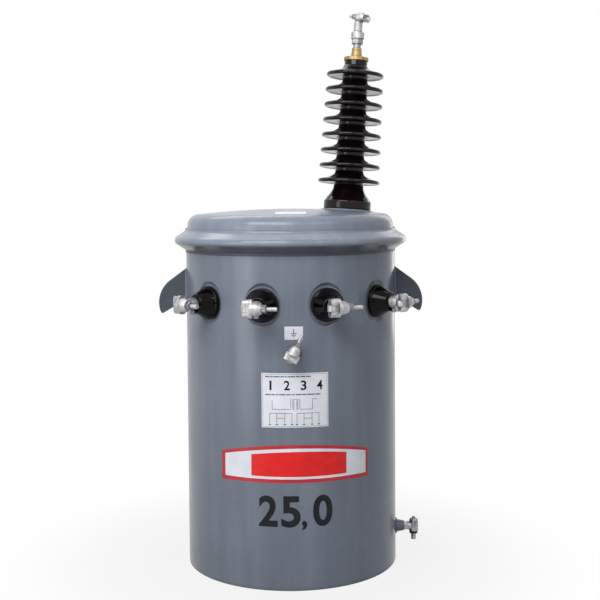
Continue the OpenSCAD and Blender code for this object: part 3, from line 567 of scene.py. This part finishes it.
# %% Softer shading and edges
SMOOTH_BELOW = math.radians(32)
ROUND_ABOVE = math.radians(40)
JOIN_REACH = 0.01 * MM
ROUNDING_MM = {
    1.5: ("lifting_lug_left", "lifting_lug_right"),
    1.2: ("hanger_upper", "hanger_lower"),
    1.0: numbered("lv_clamp_"),
    0.8: ("cover_band", "ground_boss", "valve_boss", "hv_cap", "hv_clamp", "ground_clamp",
          "tank_bottom"),
    0.7: ("hv_jam_nut",),
    0.6: ("valve_body", "valve_bonnet", *numbered("lv_eyebolt_")),
    0.5: ("clamp_nuts", "valve_outlet", "cover_band_bolt", "cover_band_nut"),
    0.4: ("lock_screws",),
}


def smoothing_group():
    """Nodes that join the triangles and smooth every edge flatter than an angle."""
    group = bpy.data.node_groups.new("smooth_below_angle", "GeometryNodeTree")
    group.interface.new_socket("Geometry", in_out="INPUT", socket_type="NodeSocketGeometry")
    group.interface.new_socket("Geometry", in_out="OUTPUT", socket_type="NodeSocketGeometry")
    start = group.nodes.new("NodeGroupInput")
    drop = group.nodes.new("GeometryNodeRemoveAttribute")
    drop.inputs["Name"].default_value = "custom_normal"
    join = group.nodes.new("GeometryNodeMergeByDistance")
    join.inputs["Distance"].default_value = JOIN_REACH
    faces = group.nodes.new("GeometryNodeSetShadeSmooth")
    faces.domain = "FACE"
    angle = group.nodes.new("GeometryNodeInputMeshEdgeAngle")
    steep = group.nodes.new("FunctionNodeCompare")
    steep.data_type = "FLOAT"
    steep.operation = "GREATER_THAN"
    steep.inputs["B"].default_value = SMOOTH_BELOW
    edges = group.nodes.new("GeometryNodeSetShadeSmooth")
    edges.domain = "EDGE"
    edges.inputs["Shade Smooth"].default_value = False
    end = group.nodes.new("NodeGroupOutput")
    link = group.links.new
    link(start.outputs["Geometry"], drop.inputs["Geometry"])
    link(drop.outputs["Geometry"], join.inputs["Geometry"])
    link(join.outputs["Geometry"], faces.inputs["Geometry"])
    link(angle.outputs["Unsigned Angle"], steep.inputs["A"])
    link(faces.outputs["Geometry"], edges.inputs["Geometry"])
    link(steep.outputs["Result"], edges.inputs["Selection"])
    link(edges.outputs["Geometry"], end.inputs["Geometry"])
    return group


smoothing = smoothing_group()
for name, solid in solids.items():
    if name != "tank_wall":
        smooth = solid.modifiers.new("joined_and_smooth", "NODES")
        smooth.node_group = smoothing
rounded = {name: radius for radius, names in ROUNDING_MM.items() for name in names}
for name, radius in rounded.items():
    edge = solids[name].modifiers.new("rounded_edges", "BEVEL")
    edge.width = radius * MM
    edge.segments = 2
    edge.limit_method = "ANGLE"
    edge.angle_limit = ROUND_ABOVE
    edge.harden_normals = True
print(len(rounded), "solids have rounded edges")

# %% [markdown]
# ## Helpers for new pieces
# Labels and marks are made flat, with the distance along the wall as X and the height as Y, and
# then wrapped round the tank. Modelling on the curve would work too, but flat work is easier to
# measure. Its sizes, heights and lifts off the wall are written in millimetres. Every new piece
# becomes one object at the origin that rides on the transformer.

# %% Helpers for new pieces
SHARP_ABOVE = math.radians(40)
DOUBLES_REACH = 0.002 * MM
SKIN_MM = 0.12


def make_piece(name, bm, finish):
    """Turn a bmesh into a finished object that belongs to the transformer."""
    bmesh.ops.remove_doubles(bm, verts=bm.verts, dist=DOUBLES_REACH)
    bmesh.ops.recalc_face_normals(bm, faces=bm.faces)
    for face in bm.faces:
        face.smooth = True
    mesh = bpy.data.meshes.new(name)
    bm.to_mesh(mesh)
    bm.free()
    mesh.set_sharp_from_angle(angle=SHARP_ABOVE)
    mesh.materials.append(finish)
    piece = bpy.data.objects.new(name, mesh)
    scene.collection.objects.link(piece)
    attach(piece, "root")
    print(name, len(mesh.polygons), "faces")


def add_to(bm, part):
    """Add one finished bmesh to another."""
    carrier = bpy.data.meshes.new("carrier")
    part.to_mesh(carrier)
    part.free()
    bm.from_mesh(carrier)
    bpy.data.meshes.remove(carrier)


def along(degrees):
    """Millimetres along the wall from the front for an angle round the tank."""
    return math.radians(degrees) * TANK_R / MM


def lay_on_tank(name, bm, finish, skin_mm=SKIN_MM):
    """Thicken flat work and wrap it round the tank: X along the wall, Y up, Z out of the wall."""
    bmesh.ops.solidify(bm, geom=bm.faces[:], thickness=skin_mm * MM)
    for vert in bm.verts:
        angle = vert.co.x / TANK_R
        out = TANK_R + vert.co.z
        vert.co = (out * math.sin(angle), -out * math.cos(angle), vert.co.y)
    make_piece(name, bm, finish)


print("one degree round the tank is", round(along(1), 2), "mm")

# %% [markdown]
# ## Vinyl and ink
# The labels are printed vinyl: a satin white film, two red ones, and black and grey ink with
# little gloss. The stencil is matt paint. Film follows the wall but is never quite even, so its
# shine varies a little.

# %% Vinyl and ink
def film(name, dark, light, rough, shine=0.4):
    """Printed film or ink, with a slightly uneven colour and shine."""
    finish = Finish(name, specular=shine)
    finish.colour(finish.ramp(finish.grain(lumps=30, detail=4), dark, light))
    finish.gloss(finish.span(finish.grain(lumps=55, detail=3), *rough))
    finish.dents(finish.grain(lumps=160, detail=2), depth_mm=0.1, strength=0.15)
    return finish.material


white_vinyl = film("white_vinyl", srgb(216, 219, 228), srgb(231, 233, 240), (0.32, 0.46), shine=0.25)
red_vinyl = film("red_vinyl", srgb(214, 20, 22), srgb(232, 32, 30), (0.3, 0.42))
rim_vinyl = film("rim_vinyl", srgb(176, 34, 42), srgb(194, 44, 52), (0.3, 0.42))
black_ink = film("black_ink", srgb(16, 17, 19), srgb(28, 29, 32), (0.5, 0.65), shine=0.12)
grey_ink = film("grey_ink", srgb(84, 86, 94), srgb(104, 106, 114), (0.5, 0.65), shine=0.2)
stencil_ink = film("stencil_paint", srgb(20, 21, 24), srgb(33, 35, 40), (0.45, 0.65), shine=0.15)
print("vinyl and ink ready")

# %% [markdown]
# ## The long sticker
# A barrel-shaped sticker goes almost a quarter of the way round the front: a red rim, a white band
# and a plain red block in the middle. Each layer is a grid whose upper and lower edges swell
# towards the middle. The layers are thin solids, one just above the other, as film is.

# %% The long sticker
FILM_LIFT = 0.2
PRINT_LIFT = 0.4
BLOCK_LIFT = 0.6


def barrel_label(name, turns, lows, highs, lift, finish):
    """A film between two angles; its edges have a height (mm) at the ends and one in the middle."""
    bm = bmesh.new()
    bmesh.ops.create_grid(bm, x_segments=56, y_segments=4, size=1)
    left, right = (along(turn) for turn in turns)
    half = (right - left) / 2
    middle = (right + left) / 2
    for vert in bm.verts:
        across, up = vert.co.x, (vert.co.y + 1) / 2
        low, high = (mid + (end - mid) * across * across for end, mid in (lows, highs))
        vert.co = Vector((middle + half * across, low + (high - low) * up, lift)) * MM
    lay_on_tank(name, bm, finish)


barrel_label("sticker_rim", (-40.8, 41.2), (216, 217.5), (273, 293), FILM_LIFT, rim_vinyl)
barrel_label("sticker_band", (-38.5, 39.6), (224, 224.5), (268.5, 286), PRINT_LIFT, white_vinyl)
barrel_label("sticker_block", (-23.0, 27.0), (230, 229.5), (272.5, 279.5), BLOCK_LIFT, red_vinyl)

# %% [markdown]
# ## The connection label
# A white label under the ground terminal shows how the windings are joined to the terminals. The
# sheet and the lines of its frame are flat strips. Each strip is cut into short cells, because a
# single long face would cut through the wall when it is wrapped.

# %% The connection label
BEND_CELL_MM = 4
LABEL_LEFT, LABEL_RIGHT = along(-17.2), along(17.0)
LABEL_LOW, LABEL_HIGH = 328.0, 436.5
FRAME_IN = 2.2
FRAME_LINE = 0.5


def add_strip(bm, left, right, low, high, lift):
    """A flat strip in millimetres, cut into cells short enough to bend."""
    cells = max(1, round((right - left) / BEND_CELL_MM))
    middle = Matrix.Translation(Vector(((left + right) / 2, (low + high) / 2, lift)) * MM)
    size = Matrix.Diagonal(((right - left) / 2 * MM, (high - low) / 2 * MM, 1, 1))
    bmesh.ops.create_grid(bm, x_segments=cells, y_segments=1, size=1, matrix=middle @ size)


def label_piece(name, strips, lift, finish):
    """Film or ink made of strips (left, right, low, high in mm), wrapped on the tank."""
    bm = bmesh.new()
    for strip in strips:
        add_strip(bm, *strip, lift)
    lay_on_tank(name, bm, finish)


label_sheet = (LABEL_LEFT, LABEL_RIGHT, LABEL_LOW, LABEL_HIGH)
label_piece("connection_label", [label_sheet], FILM_LIFT, white_vinyl)
left, right = LABEL_LEFT + FRAME_IN, LABEL_RIGHT - FRAME_IN
low, high = LABEL_LOW + FRAME_IN, LABEL_HIGH - FRAME_IN
frame_lines = [
    (left, right, high - FRAME_LINE, high),
    (left, right, low, low + FRAME_LINE),
    (left, left + FRAME_LINE, low, high),
    (right - FRAME_LINE, right, low, high),
]
label_piece("connection_label_frame", frame_lines, PRINT_LIFT, grey_ink)

# %% [markdown]
# ## The winding diagram
# The label's drawing has an upper part with the high-voltage winding and a lower part with two
# low-voltage coils. An image would blur at close range, so the lines are thin ink strips. Small
# print is drawn as short bars, because it is too fine to read at this size.

# %% The winding diagram
PEN_HALF = 0.45
PRINT_LEFT = -60
PRINT_GAP = 1.6
# Rows of small print, each with its lower edge, its upper edge and the widths of its bars.
PRINT_ROWS = (
    (428.3, 430.6, (9, 5, 12, 8, 4, 14, 7, 10, 9)),
    (392.6, 394.9, (11, 7, 5, 13, 9, 6, 12, 8, 15, 10)),
)
# Upright lines, each with its middle, foot and top; level lines, with their ends and upper edge.
WINDING_POSTS = ((-9, 366, 386), (-5, 364, 384), (5, 364, 384), (9, 366, 386),
                 (-3, 362, 382), (3, 362, 382), (-46, 364, 382), (34, 364, 384))
WINDING_BARS = ((-46, -9, 364.9), (9, 34, 364.9), (-5, 5, 384.9), (34, 44, 384.9))
COIL_MIDDLES = (-29, 25)
COIL_OUTER, COIL_INNER = 22, 8
COIL_LOW, COIL_JOIN, COIL_HIGH = 337, 346.9, 357
FOOT_HALF = 2.2
FOOT_LOW, FOOT_HIGH = 333, 335.4


def upright_line(middle, low, high):
    """A strip that the pen draws upwards."""
    return (middle - PEN_HALF, middle + PEN_HALF, low, high)


def level_line(left, right, high):
    """A strip that the pen draws sideways."""
    return (left, right, high - 2 * PEN_HALF, high)


def small_print(low, high, widths):
    """A row of short bars."""
    row = []
    left = PRINT_LEFT
    for width in widths:
        row.append((left, left + width, low, high))
        left += width + PRINT_GAP
    return row


winding = []
for row in PRINT_ROWS:
    winding += small_print(*row)
winding += [upright_line(*post) for post in WINDING_POSTS]
winding += [level_line(*bar) for bar in WINDING_BARS]
for middle in COIL_MIDDLES:
    for post in (-COIL_OUTER, -COIL_INNER, COIL_INNER, COIL_OUTER):
        foot = middle + post
        winding.append(upright_line(foot, COIL_LOW, COIL_HIGH))
        winding.append((foot - FOOT_HALF, foot + FOOT_HALF, FOOT_LOW, FOOT_HIGH))
    winding.append(level_line(middle - COIL_OUTER, middle + COIL_OUTER, COIL_HIGH))
    winding.append(level_line(middle - COIL_INNER, middle + COIL_INNER, COIL_JOIN))
label_piece("connection_diagram", winding, PRINT_LIFT, grey_ink)

# %% [markdown]
# ## The terminal numbers
# A row of four plain numbers on the label stands for the four terminals. Numbers come from
# Blender's own font, are made into a mesh, cut into upright slices so that they can bend, and
# wrapped like the rest. Drawing each digit from strips would look clumsy.

# %% The terminal numbers
# Each number with its middle along the wall and half its width.
TERMINALS = (("1", -49, 2.0), ("2", -16.5, 5.8), ("3", 16.5, 5.8), ("4", 49, 5.8))
TERMINAL_LOW, TERMINAL_HIGH = 402.5, 421.5
TERMINAL_WEIGHT = 0.02
FONT_DOUBLES_REACH = 0.0001


def number_shape(text, weight):
    """A number from the built-in font as a bmesh, thickened by a weight."""
    curve = bpy.data.curves.new("number", "FONT")
    curve.body = text
    curve.offset = weight
    curve.resolution_u = 5
    holder = bpy.data.objects.new("number", curve)
    scene.collection.objects.link(holder)
    bpy.context.view_layer.update()
    shape = bpy.data.meshes.new_from_object(
        holder.evaluated_get(bpy.context.evaluated_depsgraph_get()))
    bpy.data.objects.remove(holder)
    bpy.data.curves.remove(curve)
    made = bmesh.new()
    made.from_mesh(shape)
    bpy.data.meshes.remove(shape)
    bmesh.ops.remove_doubles(made, verts=made.verts, dist=FONT_DOUBLES_REACH)
    return made


def add_number(bm, text, left, right, low, high, lift, weight):
    """A number fitted into a box (mm), flat, sliced and ready to wrap."""
    made = number_shape(text, weight)
    across = [vert.co.x for vert in made.verts]
    up = [vert.co.y for vert in made.verts]
    wide = (right - left) / (max(across) - min(across))
    tall = (high - low) / (max(up) - min(up))
    fit = Matrix.Translation(Vector((left, low, lift)) * MM)
    fit = fit @ Matrix.Diagonal((wide * MM, tall * MM, 1, 1))
    fit = fit @ Matrix.Translation((-min(across), -min(up), 0))
    bmesh.ops.transform(made, matrix=fit, verts=made.verts)
    slices = int((right - left) / BEND_CELL_MM)
    for cut in range(1, slices):
        at = Vector((left + (right - left) * cut / slices, 0, 0)) * MM
        parts = made.verts[:] + made.edges[:] + made.faces[:]
        bmesh.ops.bisect_plane(made, geom=parts, plane_co=at, plane_no=(1, 0, 0))
    add_to(bm, made)


bm = bmesh.new()
for text, middle, half in TERMINALS:
    add_number(
        bm, text, middle - half, middle + half, TERMINAL_LOW, TERMINAL_HIGH, PRINT_LIFT,
        TERMINAL_WEIGHT)
lay_on_tank("terminal_numbers", bm, black_ink)

# %% [markdown]
# ## The ground label
# A small white tag above the ground terminal carries the earth sign: a stem and three bars, each
# shorter than the one above. Strips are enough for it, as for the connection label.

# %% The ground label
TAG_LEFT, TAG_RIGHT = along(-5.2), along(4.1)
TAG_LOW, TAG_HIGH = 502.7, 528.7
STEM_HALF = 0.6
STEM_LOW, STEM_HIGH = 515, 524
EARTH_HALVES = (6.0, 4.0, 2.0)
EARTH_BAR = 1.2
EARTH_STEP = 3.0

label_piece("ground_label", [(TAG_LEFT, TAG_RIGHT, TAG_LOW, TAG_HIGH)], FILM_LIFT, white_vinyl)
stem = (TAG_LEFT + TAG_RIGHT) / 2
earth = [(stem - STEM_HALF, stem + STEM_HALF, STEM_LOW, STEM_HIGH)]
for row, half in enumerate(EARTH_HALVES):
    high = STEM_LOW - EARTH_STEP * row
    earth.append((stem - half, stem + half, high - EARTH_BAR, high))
label_piece("earth_sign", earth, PRINT_LIFT, black_ink)

# %% [markdown]
# ## The cover label
# A bare white label lies on the dome, where only its edge is seen from the front. The dome curves
# both ways, so the label isn't wrapped like the others. It is a grid that is dropped onto the dome:
# a ray goes straight down from each corner, which moves to the place where the ray meets the cover.

# %% The cover label
COVER_TAG_PLACE = Vector((-4.5, -160, 0)) * MM
COVER_TAG_HALF_X = 31.5 * MM
COVER_TAG_HALF_Y = 26 * MM
COVER_TAG_LIFT = 0.35 * MM
DOWN = Vector((0, 0, -1))

bm = bmesh.new()
size = Matrix.Diagonal((COVER_TAG_HALF_X, COVER_TAG_HALF_Y, 1, 1))
flat = Matrix.Translation(COVER_TAG_PLACE) @ size
bmesh.ops.create_grid(bm, x_segments=12, y_segments=10, size=1, matrix=flat)
for vert in bm.verts:
    above = Vector((vert.co.x, vert.co.y, cad_high.z))
    spot, facing = solids["cover"].ray_cast(above, DOWN)[1:3]
    vert.co = spot + facing * COVER_TAG_LIFT
bmesh.ops.solidify(bm, geom=bm.faces[:], thickness=SKIN_MM * MM)
make_piece("cover_label", bm, white_vinyl)

# %% [markdown]
# ## The stencilled number
# The rating of such a tank is stencilled on the front in black paint, as a plain number. It sits
# flat on the enamel with no film under it, so it lies lower than the labels.

# %% The stencilled number
# Each sign with its left and right end (degrees from the front), its foot and its top (mm).
STENCIL = (
    ("2", -19.2, -9.3, 129, 191.5),
    ("5", -7.6, 2.3, 128, 191),
    (",", 2.9, 5.6, 122, 141),
    ("0", 8.6, 19.0, 128, 191.5),
)
STENCIL_LIFT = 0.16
STENCIL_SKIN_MM = 0.08
STENCIL_WEIGHT = 0.028

bm = bmesh.new()
for text, left, right, low, high in STENCIL:
    add_number(bm, text, along(left), along(right), low, high, STENCIL_LIFT, STENCIL_WEIGHT)
lay_on_tank("stencilled_number", bm, stencil_ink, STENCIL_SKIN_MM)

# %% [markdown]
# ## The lower lip of the clamp band
# Under the clamp band a narrow turned-down lip lies against the wall and closes the joint. It is a
# thin strip that goes round the tank and stops at the gap of the band, where the bolt pulls the
# ends together. Bending a flat strip would do, but its section spun round the axis is exact. It
# wears the darker enamel copy, as painted shade for the strip of shadow under the band.

# %% The lower lip of the clamp band
LIP_H = 5.2 * MM
LIP_T = 1.3 * MM
LIP_ROUND = 0.5 * MM
LIP_SINK = 0.6 * MM
LIP_CLEAR = 0.05 * MM
LIP_STEPS = 180
BAND_GAP_HALF = 11 * MM

band_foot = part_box("cover_band")[0].z
gap_turn = math.asin(BAND_GAP_HALF / TANK_R)
lip_middle = (TANK_R + LIP_CLEAR + LIP_T / 2, 0, band_foot + LIP_SINK - LIP_H / 2)
section = Matrix.Diagonal((LIP_T / 2, 1, LIP_H / 2, 1)) @ Matrix.Rotation(math.pi / 2, 4, "X")
bm = bmesh.new()
bmesh.ops.create_grid(
    bm, x_segments=1, y_segments=1, size=1, matrix=Matrix.Translation(lip_middle) @ section)
low_outer = [
    vert for vert in bm.verts
    if vert.co.x > TANK_R + LIP_T / 2 and vert.co.z < band_foot - LIP_H / 2]
bmesh.ops.bevel(
    bm, geom=low_outer, offset=LIP_ROUND, offset_type="OFFSET", affect="VERTICES", segments=3,
    profile=0.5, material=-1)
start = Matrix.Rotation(math.pi / 2 + gap_turn, 4, "Z")
bmesh.ops.transform(bm, matrix=start, verts=bm.verts)
bmesh.ops.spin(
    bm, geom=bm.verts[:] + bm.edges[:] + bm.faces[:], cent=(0, 0, 0), axis=(0, 0, 1),
    angle=2 * (math.pi - gap_turn), steps=LIP_STEPS)
# The darker enamel copy here is painted shade: the dark strip under the band.
make_piece("band_lower_lip", bm, shaded_lug_paint)

# %% [markdown]
# ## Straight weld beads
# The lugs and the pole hangers are welded to the wall, and each weld leaves a rippled bead. A
# straight bead is a cylinder cut into rings. A gentle wave along it gives the ripples, which a
# plain tube would lack, and its ends are thinner.

# %% Straight weld beads
BEAD_R = 3.2 * MM
BEAD_OUT = 0.6 * MM
RIPPLE = 5.0 * MM
RIPPLE_SWELL = 0.13
RINGS_A_RIPPLE = 5
END_SHARE = 0.45
END_TAPER = 3 * MM
# Turns round the tank are in degrees.
LUG_TURN = 84
LUG_HALF_TURN = 1.5
LUG_WELD_LOW, LUG_WELD_HIGH = 0.568, 0.632
HANGER_CLEAR_TURN = 0.5
HANGER_INSET = 2 * MM


def ripple(distance):
    """How much thicker the bead is here than on average."""
    return 1 + RIPPLE_SWELL * math.sin(2 * math.pi * distance / RIPPLE)


def upright_bead(bm, degrees, low, high):
    """A bead up the wall at an angle from the front, between two heights in metres."""
    length = high - low
    bead = bmesh.new()
    bmesh.ops.create_cone(
        bead, cap_ends=True, segments=14, radius1=BEAD_R, radius2=BEAD_R, depth=length)
    sides = [edge for edge in bead.edges if edge.calc_length() > length / 2]
    bmesh.ops.subdivide_edges(bead, edges=sides, cuts=int(length / RIPPLE * RINGS_A_RIPPLE))
    for vert in bead.verts:
        thin_end = min(1.0, END_SHARE + (length / 2 - abs(vert.co.z)) / END_TAPER)
        grow = ripple(vert.co.z + length / 2) * thin_end
        vert.co = (vert.co.x * grow, vert.co.y * grow, vert.co.z)
    angle = math.radians(degrees)
    out = Vector((math.sin(angle), -math.cos(angle), 0))
    foot = out * (TANK_R + BEAD_OUT) + Vector((0, 0, low + length / 2))
    bmesh.ops.translate(bead, vec=foot, verts=bead.verts)
    add_to(bm, bead)


bm = bmesh.new()
for side in (-1, 1):
    for edge in (-LUG_HALF_TURN, LUG_HALF_TURN):
        upright_bead(bm, side * LUG_TURN + edge, LUG_WELD_LOW, LUG_WELD_HIGH)
make_piece("lug_welds", bm, bead_paint)

hanger_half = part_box("hanger_lower")[1].x
hanger_turn = math.degrees(math.asin(hanger_half / TANK_R)) + HANGER_CLEAR_TURN
bm = bmesh.new()
for name in ("hanger_lower", "hanger_upper"):
    low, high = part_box(name)
    for side in (-1, 1):
        upright_bead(bm, 180 + side * hanger_turn, low.z + HANGER_INSET, high.z - HANGER_INSET)
make_piece("hanger_welds", bm, bead_paint)

# %% [markdown]
# ## Ring weld beads
# The bosses of the ground terminal and of the oil valve are welded all round. Such a bead is a
# circle spun round the boss. A flat ring would leave the curved wall, so each point of the ring is
# moved back until it follows the wall.

# %% Ring weld beads
RING_SHARE = 0.8
RING_OUT = 0.8 * MM
RING_CLEAR = 0.6 * MM


def ring_bead(bm, place, out, radius):
    """A bead round a boss on the wall, which it follows as the wall curves away."""
    bead = bmesh.new()
    start = Matrix.Translation((radius, 0, 0)) @ Matrix.Rotation(math.pi / 2, 4, "X")
    made = bmesh.ops.create_circle(bead, segments=12, radius=BEAD_R * RING_SHARE, matrix=start)
    bmesh.ops.spin(
        bead, geom=made["verts"] + bead.edges[:], cent=(0, 0, 0), axis=(0, 0, 1),
        angle=2 * math.pi, steps=96, use_merge=True)
    turn = Matrix.Translation(place) @ out.to_track_quat("Z", "Y").to_matrix().to_4x4()
    for vert in bead.verts:
        around = math.atan2(vert.co.y, vert.co.x)
        core = Vector((radius * math.cos(around), radius * math.sin(around), 0))
        swollen = core + (vert.co - core) * ripple(around * radius)
        on_wall = turn @ core
        above = math.hypot(on_wall.x, on_wall.y) - TANK_R
        vert.co = turn @ swollen - out * (above - RING_OUT)
    add_to(bm, bead)


bm = bmesh.new()
for name in ("ground_boss", "valve_boss"):
    low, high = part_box(name)
    spot = middle_of(name)
    out = Vector((spot.x, spot.y, 0)).normalized()
    ring_bead(bm, out * TANK_R + Vector((0, 0, spot.z)), out, (high.z - low.z) / 2 + RING_CLEAR)
make_piece("boss_welds", bm, bead_paint)

# %% [markdown]
# ## Threads of the eyebolts
# The tails of the eyebolts are threaded. A texture could suggest it, but a real groove catches
# light from every side. A ridge profile is spun round the bolt while it climbs, one pitch each
# turn, and the turns are merged into one sleeve over the plain shank. The tip of each bolt is found
# on its solid, as the points that lie farthest from the middle of the conductor's hole.

# %% Threads of the eyebolts
THREAD_STEPS = 20
THREAD_SINK = 0.15 * MM
THREAD_RISE = 0.28 * MM
CREST_FROM, CREST_TO = 0.42, 0.58
TIP_REACH = 0.6 * MM
TAIL_SHARE = 0.335
TAIL_END = 0.4 * MM
COARSE_PITCH = 1.75 * MM
COARSE_R_MM = 4
# Each eyebolt with its mount, its radius in mm and the share of its tail that is free.
EYEBOLTS = [(f"lv_eyebolt_{n}", f"lv_conductor_{n}", 4.0, 1.0) for n in "1234"]
EYEBOLTS.append(("hv_eyebolt", "hv_conductor", 3.2, 0.6))
EYEBOLTS.append(("ground_eyebolt", "ground_conductor", 3.28, 1.0))


def thread(bm, start, direction, radius, pitch, length):
    """A helical ridge on a rod, from a start point along a direction."""
    sleeve = bmesh.new()
    root, crest = radius - THREAD_SINK, radius + THREAD_RISE
    ridge = [sleeve.verts.new(point) for point in (
        (root, 0, 0), (crest, 0, CREST_FROM * pitch), (crest, 0, CREST_TO * pitch), (root, 0, pitch))]
    edges = [sleeve.edges.new(pair) for pair in zip(ridge, ridge[1:])]
    turns = max(1, int(length / pitch) - 1)
    bmesh.ops.spin(
        sleeve, geom=ridge + edges, cent=(0, 0, 0), axis=(0, 0, 1),
        dvec=(0, 0, pitch / THREAD_STEPS), angle=2 * math.pi * turns, steps=THREAD_STEPS * turns)
    bmesh.ops.remove_doubles(sleeve, verts=sleeve.verts, dist=JOIN_REACH)
    rim = [edge for edge in sleeve.edges if edge.is_boundary]
    bmesh.ops.holes_fill(sleeve, edges=rim, sides=0)
    turn = Matrix.Translation(start) @ direction.to_track_quat("Z", "Y").to_matrix().to_4x4()
    bmesh.ops.transform(sleeve, matrix=turn, verts=sleeve.verts)
    add_to(bm, sleeve)


def bolt_tip(name, centre):
    """The far end of an eyebolt's shank, seen from the conductor's centre."""
    points = [vert.co for vert in solids[name].data.vertices]
    far = max((point - centre).length for point in points)
    end = [point for point in points if (point - centre).length > far - TIP_REACH]
    return sum(end, Vector()) / len(end)


mounts = {mount["name"]: mount for mount in frame["record"]["mounts"]}
bm = bmesh.new()
for name, mount, shank, free in EYEBOLTS:
    centre = Vector(mounts[mount]["pos_m"])
    tip = bolt_tip(name, centre)
    way = (tip - centre).normalized()
    tail = (tip - centre).length * TAIL_SHARE * free
    pitch = COARSE_PITCH * shank / COARSE_R_MM
    thread(bm, tip - way * tail, way, shank * MM, pitch, tail - TAIL_END)
make_piece("eyebolt_threads", bm, tin)

# %% [markdown]
# ## Thread of the tall stud
# The stud of the tall bushing shows a short length of thread between its cap and its nut. The same
# helper makes it, along the axis of the bushing, which leans a little.

# %% Thread of the tall stud
STUD_R = 8.5 * MM
STUD_PITCH = 2.0 * MM
STUD_SINK = 0.5 * MM
STUD_OVERLAP = 1.2 * MM

cap_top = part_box("hv_cap")[1].z
nut_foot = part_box("hv_jam_nut")[0].z
stud_start = hv_foot + hv_axis * ((cap_top - hv_foot.z) / hv_axis.z - STUD_SINK)
stud_show = (nut_foot - cap_top) / hv_axis.z + STUD_OVERLAP
bm = bmesh.new()
thread(bm, stud_start, hv_axis, STUD_R, STUD_PITCH, stud_show)
make_piece("tall_stud_thread", bm, tin)

# %% [markdown]
# ## The seal on the oil valve
# A black rubber ring sits where the spout screws into the valve, and the spout passes through it. A
# circle spun round the spout would be a doughnut, so a short cylinder with bevelled rims is used.

# %% The seal on the oil valve
SEAL_R = 8.9 * MM
SEAL_H = 5.6 * MM
SEAL_ROUND = 1.2 * MM
SEAL_DROP = 0.2 * MM
LEVEL_WITHIN = 0.1 * MM

spout = middle_of("valve_outlet")
spout_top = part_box("valve_outlet")[1].z
bm = bmesh.new()
bmesh.ops.create_cone(bm, cap_ends=True, segments=48, radius1=SEAL_R, radius2=SEAL_R, depth=SEAL_H)
rims = [edge for edge in bm.edges if abs(edge.verts[0].co.z - edge.verts[1].co.z) < LEVEL_WITHIN]
bmesh.ops.bevel(
    bm, geom=rims, offset=SEAL_ROUND, offset_type="OFFSET", affect="EDGES", segments=3,
    profile=0.5, material=-1)
seal_place = (spout.x, spout.y, spout_top - SEAL_DROP - SEAL_H / 2)
bmesh.ops.translate(bm, vec=seal_place, verts=bm.verts)
make_piece("valve_seal", bm, sleeve_rubber)
